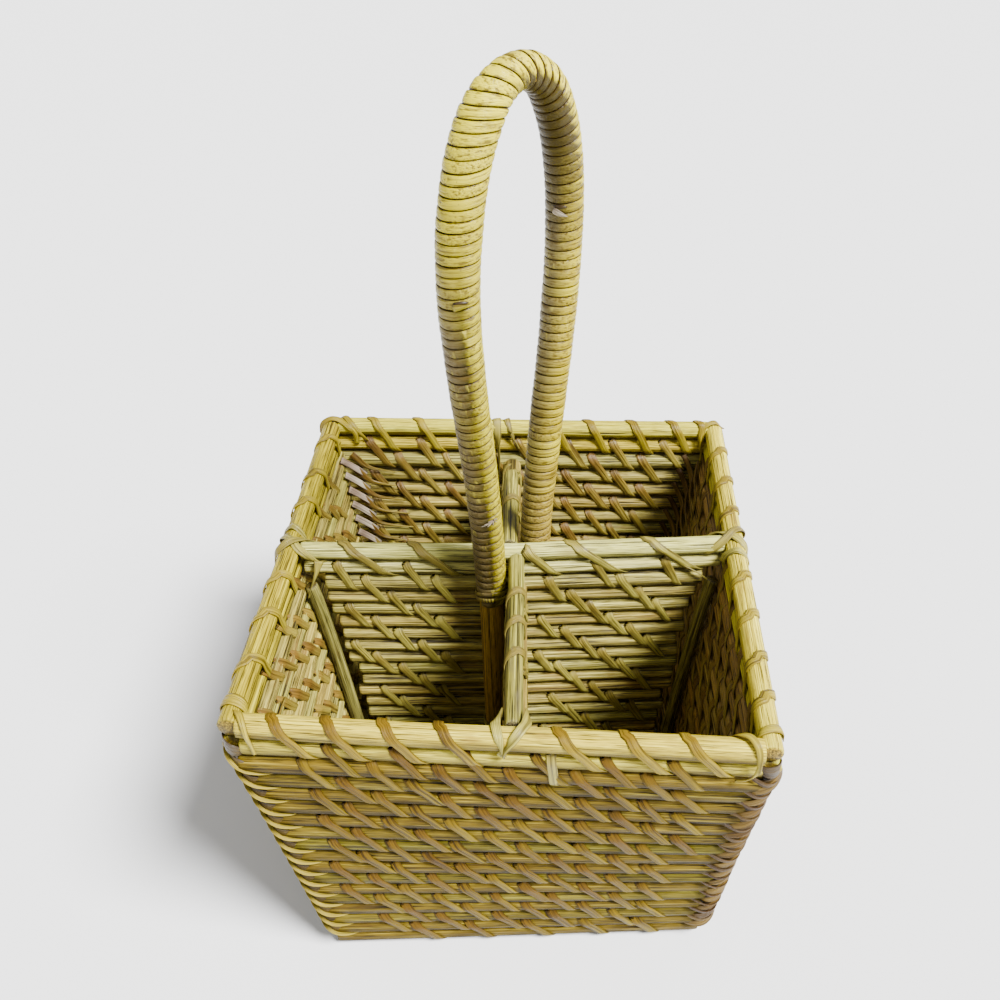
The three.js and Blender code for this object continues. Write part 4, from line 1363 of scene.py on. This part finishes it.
def through_end(half_span, half):
    """End of a reed that runs past the wall it meets."""
    return half_span + half - CORNER_CHAMFER


def butted_end(half_span, half):
    """End of a reed that butts into the wall it meets."""
    return half_span - half * BUTT_SHARE


def rim_ends(name):
    """The side rods of the rim run the full depth; the front and back rods stand between them."""
    if name in ("left", "right"):
        end = half_depth(RIM_HEIGHT) + RIM_HALF - RIM_CHAMFER
    else:
        end = half_width(RIM_HEIGHT) - RIM_HALF * RIM_BUTT_SHARE
    return -end, end


def wall_ends(name, z, half):
    """As the rim, but at the front left corner the front reeds run past the side reeds."""
    if name == "left":
        return -butted_end(half_depth(z), half), through_end(half_depth(z), half)
    if name == "right":
        return -through_end(half_depth(z), half), through_end(half_depth(z), half)
    left = through_end(half_width(z), half) if name == "front" else butted_end(half_width(z), half)
    return -left, butted_end(half_width(z), half)


def build_wall(name):
    rail = WALLS[name]
    rim = Surface()
    radius = RIM_HALF * RIM_ROD_SHARE
    # On the front wall and its rim rods the lower painted shade leans round toward the outside
    lean = rail.rightward(rail.out) * UNDER_SHADE_LEANS.get(name, 0.0)
    add_rail_reed(rim, rail, rim_ends(name), RIM_HEIGHT, radius, SHADE_UNDER_ONLY, lean=lean)
    add_rail_reed(rim, rail, rim_ends(name), UNDER_ROD_HEIGHT, radius, lean=lean)
    rim_reed = LEFT_RIM_REED if name == "left" else RIM_REED
    rim.build(f"Rim_{name}", rim_reed, [f"rim_rod_{name}", f"rim_under_rod_{name}"])

    # Painted shade on the outer side of each wall's reeds, by its share
    reed, outer_shading = WALL_REEDS_OF[name]
    outside = rail.rightward(rail.out) * outer_shading
    reeds = Surface()
    for z, radius in WALL_STACK:
        low, high = wall_ends(name, z, WALL_HALF)
        ragged = chance.uniform(0, RAGGED_END, 2)
        ends = (low + ragged[0], high - ragged[1])
        add_rail_reed(reeds, rail, ends, z, radius, outside=outside, lean=lean)
    ends = wall_ends(name, BASE_HALF, BASE_HALF)
    radius = BASE_HALF * BASE_ROD_SHARE
    add_rail_reed(reeds, rail, ends, BASE_HALF, radius, reach=0.0, outside=outside, lean=lean)
    reeds.build(f"Wall_{name}", reed, [f"wall_{name}", f"base_rod_{name}"])

    rods = [(UNDER_ROD_HEIGHT, RIM_HALF), *WALL_STACK, (BASE_HALF, BASE_HALF)]
    # The lacing outside is in the darker cane that paints shade
    for face, side, material in (("outside", rail.out, SHADED_OUTSIDE_CANE), ("inside", -rail.out, INSIDE_CANE)):
        lacing = Surface()
        lace_face(lacing, rail, side, rods, wall_lacing_span, STITCH_PITCH, STITCH_STEP, STITCH_RUN)
        lacing.build(f"Lacing_{name}_{face}", material)


def wall_lacing_span(z):
    return STITCH_MARGIN - half_width(z), half_width(z) - STITCH_MARGIN


# Where the middle of each rim side meets a divider
CROSSINGS = {
    "left": DIVIDER.line(-RIM_WIDTH / 2, RIM_HEIGHT),
    "right": DIVIDER.line(RIM_WIDTH / 2, RIM_HEIGHT),
    "front": FRONT_PARTITION.line(-RIM_DEPTH / 2, RIM_HEIGHT),
    "back": REAR_PARTITION.line(RIM_DEPTH / 2, RIM_HEIGHT),
}


def build_rim_bindings():
    inner = RIM_WIDTH / 2 - RIM_HALF - BINDING_CORNER_GAP
    rods = rod_pair(UNDER_ROD_HEIGHT, RIM_HALF)
    for name, rail in WALLS.items():
        material = RIM_CANE if name == "front" else GOLDEN_CANE
        halves = ("left", "right") if rail.axis == "x" else ("front", "back")
        crossing = CROSSINGS[name]
        spans = ((-inner, crossing - BINDING_JOINT_GAP), (crossing + BINDING_JOINT_GAP, inner))
        for half, (start, end) in zip(halves, spans):
            surface = Surface()
            add_binding(surface, rail, start, end, rods, BINDING_PITCH, RIM_SLANTS[name])
            place = f"{name}_{half}"
            surface.build(f"RimBinding_{place}", material, [f"rim_binding_{place}"])


def add_corner_strips(surface, side, depth, z):
    """Strips that lace a corner beside one reed: one on the left, two that cross on the right."""
    heading = side * depth
    top = z + WALL_PITCH * CORNER_TOP_SHARE
    if side < 0:
        drop, tilt, width = LEFT_CORNER_STRIP
        add_corner_strip(surface, side, depth, top, WALL_PITCH * drop, heading, math.radians(tilt), width)
        return
    for sense, drop, tilt, width, reach in RIGHT_CORNER_STRIPS:
        rise, lean, spread, stretch = chance.uniform(-1, 1, len(CORNER_STRAYS)) * CORNER_STRAYS
        add_corner_strip(
            surface, side, depth, top + rise, WALL_PITCH * drop, sense * heading,
            math.radians(tilt + lean), width * (1 + spread), reach + stretch,
        )


def build_corner(place, side, depth):
    lacing_cane, slat_cane = (CORNER_CANE, SLAT_CANE) if side < 0 else (DARK_CANE, DARK_CANE)
    # Near-black backing under the corner lacing: painted shade in its gaps
    core = Surface()
    drop = WALL_PITCH * CORE_SHARE
    for z in (*WALL_ROWS, WALL_ROWS[-1] + WALL_PITCH):
        add_corner_strip(
            core, side, depth, z + drop, drop, side * depth, 0.0, CORE_WIDTH, CORE_REACH, CORE_STAND,
        )
    core.build(f"CornerCore_{place}", CORE_CANE)

    lacing = Surface()
    for z in WALL_ROWS:
        add_corner_strips(lacing, side, depth, z)
    lacing.build(f"Corner_{place}", lacing_cane, [f"corner_lacing_{place}"])

    slats = Surface()
    tails = Surface()
    for z in WALL_ROWS[1:]:
        add_slat(slats, side, depth, z)
        add_corner_tail(tails, side, depth, z)
    slats.build(f"CornerSlats_{place}", slat_cane)
    tails.build(f"CornerTails_{place}", INSIDE_CANE)

    straps = Surface()
    for strap in RIM_STRAPS[place]:
        add_rim_strap(straps, side, depth, strap)
    straps.build(f"RimStraps_{place}", GOLDEN_CANE)


# Dividers


def build_divider(name, rail, ends, rod, shortfalls, rod_shortfall, spans):
    """Rods, reeds and lacing of a divider; its reeds stop short of its ends where a shortfall says so."""
    shortfalls = np.array(shortfalls)
    rods = Surface()
    start, end = ends(RIM_HEIGHT)
    radius, rod_material = rod
    add_rail_reed(rods, rail, (start, end - rod_shortfall), RIM_HEIGHT, radius, SHADE_UNDER_ONLY)
    start, end = ends(UNDER_DIVIDER_HEIGHT)
    under_ends = (start + UNDER_ROD_SHORTFALL, end - UNDER_ROD_SHORTFALL - rod_shortfall)
    add_rail_reed(rods, rail, under_ends, UNDER_DIVIDER_HEIGHT, radius)
    rods.build(f"Rods_{name}", rod_material, [f"{name}_top_rod", f"{name}_under_rod"])

    reeds = Surface()
    for z, radius in DIVIDER_STACK:
        start, end = ends(z)
        short = shortfalls + chance.uniform(0, RAGGED_DIVIDER_END, 2) * (shortfalls > 0)
        add_rail_reed(reeds, rail, (start + short[0], end - short[1]), z, radius)
    reeds.build(f"Reeds_{name}", BACK_REED, [name])

    stacked = [(UNDER_DIVIDER_HEIGHT, DIVIDER_HALF), *DIVIDER_STACK]
    lacing = Surface()
    stitches = (DIVIDER_STITCH_PITCH, DIVIDER_STITCH_STEP, DIVIDER_STITCH_RUN)
    for side, span in spans:
        lace_face(lacing, rail, side, stacked, span, *stitches)
    lacing.build(f"Lacing_{name}", CANE)


def divider_ends(z):
    return -inside_width(z), inside_width(z)


def front_partition_ends(z):
    return -inside_depth(z), divider_line(PARTITION_SHIFT, z) - DIVIDER_REED_HALF - SEAT


def rear_partition_ends(z):
    return divider_line(-PARTITION_SHIFT, z) + DIVIDER_REED_HALF + SEAT, inside_depth(z)


def build_dividers():
    limb = LIMB_SIDE + WINDING_OUTER + LACING_GAP
    crossing = DIVIDER_HALF + PARTITION_SHIFT + LACING_GAP
    post = 2 * POST_HALF + LACING_GAP
    cross_spans = (
        (-1, lambda z: (-inside_width(z) + post, -limb)),
        (-1, lambda z: (crossing, inside_width(z) - post)),
        (1, lambda z: (-inside_width(z) + LACING_END_GAP, -crossing)),
        (1, lambda z: (limb, inside_width(z) - LACING_END_GAP)),
    )
    rod = (DIVIDER_HALF, PALE_ROD)
    short = DIVIDER_SHORTFALL
    build_divider("cross_divider", DIVIDER, divider_ends, rod, (short, short), 0.0, cross_spans)

    gap = PARTITION_LACING_GAP
    front_spans = (
        (-1, lambda z: (-inside_depth(z) + gap, FRONT_LIMB_EDGE - LACING_GAP)),
        (1, lambda z: (-inside_depth(z) + gap, -DIVIDER_HALF - gap)),
    )
    rear_spans = (
        (1, lambda z: (REAR_LIMB_EDGE + LACING_GAP, inside_depth(z) - gap)),
        (-1, lambda z: (DIVIDER_HALF + gap, inside_depth(z) - gap)),
    )
    rod = (PARTITION_ROD_HALF, GREY_ROD)
    short = PARTITION_SHORTFALL
    build_divider(
        "front_partition", FRONT_PARTITION, front_partition_ends, rod, (short, 0.0), 0.0, front_spans,
    )
    build_divider(
        "rear_partition", REAR_PARTITION, rear_partition_ends, rod, (0.0, short), REAR_ROD_SHORTFALL,
        rear_spans,
    )


def build_divider_bindings():
    limb = LIMB_SIDE + WINDING_OUTER
    side = RIM_WIDTH / 2
    cross = (DIVIDER, DIVIDER_HALF, DIVIDER_BINDING_PITCH)
    front = (FRONT_PARTITION, PARTITION_ROD_HALF, PARTITION_BINDING_PITCH)
    rear = (REAR_PARTITION, PARTITION_ROD_HALF, PARTITION_BINDING_PITCH)
    rim_end = RIM_DEPTH / 2 - PARTITION_BINDING_GAP
    bindings = {
        "cross_divider_binding_left": (*cross, LEFT_BINDING_GAP - side, -limb - BINDING_LIMB_GAP),
        "cross_divider_binding_right": (*cross, limb, side - RIGHT_BINDING_GAP),
        "front_partition_binding": (*front, -rim_end, FRONT_LIMB_EDGE - PARTITION_BINDING_LIMB_GAP),
        "rear_partition_binding": (
            *rear, REAR_LIMB_EDGE + PARTITION_BINDING_LIMB_GAP, rim_end - REAR_ROD_SHORTFALL,
        ),
    }
    for name, (rail, half, pitch, start, end) in bindings.items():
        surface = Surface()
        rods = rod_pair(UNDER_DIVIDER_HEIGHT, half)
        add_binding(surface, rail, start, end, rods, pitch, DIVIDER_SLANTS)
        surface.build(f"Strip_{name}", CANE, [name])


# Joints


def add_joint_strap(surface, wall, crossing, strap):
    """Strap at a joint; its coordinates are out from the wall, along it, and up from the rim."""
    sense = wall.rightward(wall.out)

    def place(points):
        s = crossing + sense * points[:, 1]
        across = wall.line(s, RIM_HEIGHT) + wall.out * points[:, 0]
        return wall.place(s, across, RIM_HEIGHT + points[:, 2])

    def turn(normals):
        return wall.place(sense * normals[:, 1], wall.out * normals[:, 0], normals[:, 2])

    add_strap(surface, strap, place, turn)


# Straps at the joints: how far one lies from the middle of a divider rod
BESIDE = DIVIDER_HALF + DIVIDER_STRAP_STAND

# Short clip over the front rim, and the strip that falls across the middle of the divider
CLIP_OFFSET = 14.5
CLIP_RUN = 1.0
CLIP_THINNING = 0.2
MIDDLE_STRIP_HEAD = 5.5
MIDDLE_STRIP_RUN = 18.0

# Each strap at a joint: its controls, width and share of width at its tail
CROSSED_STRAPS = (
    ([(OVER * 0.75, -8.5, -OVER * 0.8), (OVER, -7.0, 0.0), (OVER * 0.7, -5.0, OVER * 0.75),
      (-OVER * 0.2, -1.0, OVER * 1.12), (-OVER * 0.95, 3.0, OVER * 0.75), (-OVER - 4, BESIDE, 1.0),
      (-OVER - 8, BESIDE * 0.8, -BESIDE * 0.7), (-OVER - 11, 0.0, -BESIDE)], 4.4, 0.8),
    ([(OVER * 0.75, 8.5, -OVER * 0.8), (OVER, 7.0, 0.0), (OVER * 0.75, 5.5, OVER * 0.8),
      (-OVER * 0.2, 1.5, OVER * 1.3), (-OVER, -2.5, OVER * 0.9), (-OVER - 4, -BESIDE * 0.95, 1.5),
      (-OVER - 8, -BESIDE, -BESIDE * 0.5), (-OVER - 11, -BESIDE * 0.4, -BESIDE)], 4.4, 0.8),
    ([(OVER * 0.8, -13.0, -OVER * 0.8), (OVER, -12.0, 0.0), (0.0, -11.0, OVER * 1.08),
      (-OVER, -9.0, 0.0), (-OVER - 0.5, -7.5, -OVER)], 4.2, 0.9),
)
LEFT_TAIL = ([(-OVER - 9, BESIDE * 0.9, -3.0), (-OVER - 7.5, BESIDE + 2.5, -8.0),
              (-OVER - 5, BESIDE + 4, -14.0), (-OVER - 2.5, BESIDE + 5, -21.0)], 4.6, 0.1)
RIGHT_TAIL = ([(-OVER - 22, -BESIDE * 0.9, -9.0), (-OVER - 17, -BESIDE * 1.5, -9.5),
               (-OVER - 11, -BESIDE * 1.9, -12.0), (-OVER - 4, -BESIDE * 2.2, -17.0)], 4.2, 0.1)
VEE_STRAPS = (
    ([(-OVER - 8, -BESIDE * 0.9, -3.0), (-OVER - 6, -BESIDE * 1.15, 1.0), (-OVER * 0.9, -7.0, OVER * 0.7),
      (0.0, -6.4, OVER * 1.08), (OVER * 0.72, -5.2, OVER * 0.76), (OVER * 1.03, -4.2, -0.5),
      (OVER * 0.85, -3.4, -3.4)], 4.6, 0.7),
    ([(-OVER - 8, BESIDE * 0.9, -3.0), (-OVER - 6, BESIDE * 1.1, 1.5), (-OVER * 0.8, 5.0, OVER * 0.9),
      (0.0, 3.4, OVER * 1.22), (OVER * 0.8, 0.4, OVER * 0.9), (OVER * 1.18, -2.4, 0.6),
      (OVER * 1.12, -4.0, -2.4), (OVER * 0.85, -4.8, -4.4)], 4.6, 0.7),
)
BACK_STRAPS = (
    ([(OVER * 0.8, 9.0, -OVER * 0.7), (OVER, 8.8, 0.0), (0.0, 8.3, OVER * 1.08), (-OVER, 7.8, 0.0),
      (-OVER - 1.0, 7.4, -6.0), (-OVER - 1.8, 6.6, -12.0), (-OVER - 2.8, 6.0, -20.0),
      (-OVER - 4.4, 5.4, -30.0)], 4.6, 0.8),
    ([(OVER, 4.0, -1.0), (0.0, 2.8, OVER * 1.08), (-OVER * 0.95, 0.8, OVER * 0.3), (-OVER - 0.8, -1.6, -4.0),
      (-OVER - 1.2, -4.4, -9.5)], 4.2, 0.3),
)


def build_joints():
    joints = {
        "left": CROSSED_STRAPS + (LEFT_TAIL,),
        "right": CROSSED_STRAPS + (RIGHT_TAIL,),
        "front": VEE_STRAPS,
        "back": BACK_STRAPS,
    }
    for name, straps in joints.items():
        surface = Surface()
        for strap in straps:
            add_joint_strap(surface, WALLS[name], CROSSINGS[name], strap)
        if name == "front":
            _, upper = rod_pair(UNDER_ROD_HEIGHT, RIM_HALF)
            start = CROSSINGS[name] + CLIP_OFFSET
            add_stitch(surface, WALLS[name], -1, upper, WALL_STACK[0], start, CLIP_RUN, CLIP_THINNING)
        surface.build(f"Joint_{name}", CANE, [f"joint_tie_{name}"])


def build_middle_strip():
    """Strip that comes out beside the handle and falls across both rods of the divider."""
    surface = Surface()
    rods = rod_pair(UNDER_DIVIDER_HEIGHT, DIVIDER_HALF)
    add_stitch(surface, DIVIDER, -1, *rods, MIDDLE_STRIP_HEAD, MIDDLE_STRIP_RUN)
    surface.build("MiddleStrip", CANE)


def build_handle_ties():
    """Strips that hold both limbs against the divider, low in the tub."""
    facing = math.atan2(HANDLE_ACROSS[1], HANDLE_ACROSS[0])
    bend = np.linspace(-math.pi / 2, math.pi / 2, TIE_STEPS)
    headings = np.concatenate((facing + bend, facing + math.pi + bend, facing + bend[:1]))
    limbs = np.repeat((RIGHT_LIMB, LEFT_LIMB, RIGHT_LIMB), (TIE_STEPS, TIE_STEPS, 1), axis=0)
    outward = np.stack((np.cos(headings), np.sin(headings), 0 * headings), axis=-1)
    for label, row in TIE_ROWS.items():
        surface = Surface()
        z = (DIVIDER_ROWS[row] + DIVIDER_ROWS[row + 1]) / 2
        centres = np.insert(limbs, 2, z, axis=1)
        add_cane(surface, centres + (POLE_RADIUS + SEAT) * outward, outward, CANE_WIDTH, chance.uniform())
        surface.build(f"HandleTie_{label}", CANE, [f"handle_tie_{label}"])


def build_posts():
    for name, side in (("left", -1), ("right", 1)):
        surface = Surface()
        z = reed_stops(FLOOR_TOP + SEAT, RIM_HEIGHT - POST_TOP_DROP)
        x = side * (inside_width(z) - POST_HALF)
        y = divider_line(x, z) - DIVIDER_HALF - SEAT - POST_HALF
        add_reed(surface, np.stack((x, y, z), axis=-1), POST_HALF, chance.uniform(), RIGHT)
        surface.build(f"Post_{name}", GREEN_REED, [f"divider_post_{name}"])


def build_floor_mat():
    surface = Surface()
    end = half_width(BASE_HALF) - BASE_HALF - SEAT
    for y in FLOOR_ROWS:
        rail = Rail("x", lambda s, z, y=y: y + 0 * s)
        add_rail_reed(surface, rail, (-end, end), FLOOR_HALF + FLOOR_MAT_LIFT, FLOOR_HALF, reach=0.0)
    surface.build("FloorMat", BACK_REED, ["floor_mat"])


for wall_name in WALLS:
    build_wall(wall_name)
build_rim_bindings()
for depth_name, depth_sense in (("front", -1), ("back", 1)):
    for side_name, side_sense in (("left", -1), ("right", 1)):
        build_corner(f"{depth_name}_{side_name}", side_sense, depth_sense)
build_dividers()
build_divider_bindings()
build_joints()
build_middle_strip()
build_handle_ties()
build_posts()
build_floor_mat()
build_handle(POLE, WINDING)
build_loose_ends()


# Studio


FLOOR_REACH = 9.0
FLOOR_DROP = 0.0005
PAPER_TONE = 0.8
PAPER_ROUGHNESS = 0.9
WHITE = (1.0, 1.0, 1.0, 1.0)
SKY_STRENGTH = 0.6
KEY_DIRECTION = (0.62, -0.34, 1.0)
KEY_STRENGTH = 13.6
KEY_SOFTNESS = math.radians(20)


def build_studio():
    floor_mesh = bpy.data.meshes.new("StudioFloor")
    spots = [(x * FLOOR_REACH, y * FLOOR_REACH, -FLOOR_DROP) for x, y in ((-1, -1), (1, -1), (1, 1), (-1, 1))]
    floor_mesh.from_pydata(spots, [], [(0, 1, 2, 3)])
    floor = shown("StudioFloor", floor_mesh)
    paper = bpy.data.materials.new("studio_paper")
    paper.use_nodes = True
    shader = paper.node_tree.nodes["Principled BSDF"]
    shader.inputs["Base Color"].default_value = (PAPER_TONE, PAPER_TONE, PAPER_TONE, 1.0)
    shader.inputs["Roughness"].default_value = PAPER_ROUGHNESS
    floor_mesh.materials.append(paper)

    world = bpy.data.worlds.new("Studio")
    world.use_nodes = True
    sky = world.node_tree.nodes["Background"]
    sky.inputs["Color"].default_value = WHITE
    sky.inputs["Strength"].default_value = SKY_STRENGTH
    bpy.context.scene.world = world

    light = bpy.data.lights.new("Key", "SUN")
    light.energy = KEY_STRENGTH
    light.angle = KEY_SOFTNESS
    lamp = shown("Key", light)
    lamp.rotation_euler = Vector(KEY_DIRECTION).to_track_quat("Z", "Y").to_euler()


def build_camera():
    data = bpy.data.cameras.new("PhotoCamera")
    data.lens = CAMERA_LENS
    data.sensor_width = CAMERA_SENSOR
    data.shift_x, data.shift_y = CAMERA_SHIFT
    camera = shown("PhotoCamera", data)
    aim = (Vector(CAMERA_TARGET) - Vector(CAMERA_PLACE)).to_track_quat("-Z", "Y").to_matrix().to_4x4()
    camera.matrix_world = Matrix.Translation(CAMERA_PLACE) @ aim @ Matrix.Rotation(CAMERA_ROLL, 4, "Z")
    bpy.context.scene.camera = camera


build_studio()
build_camera()
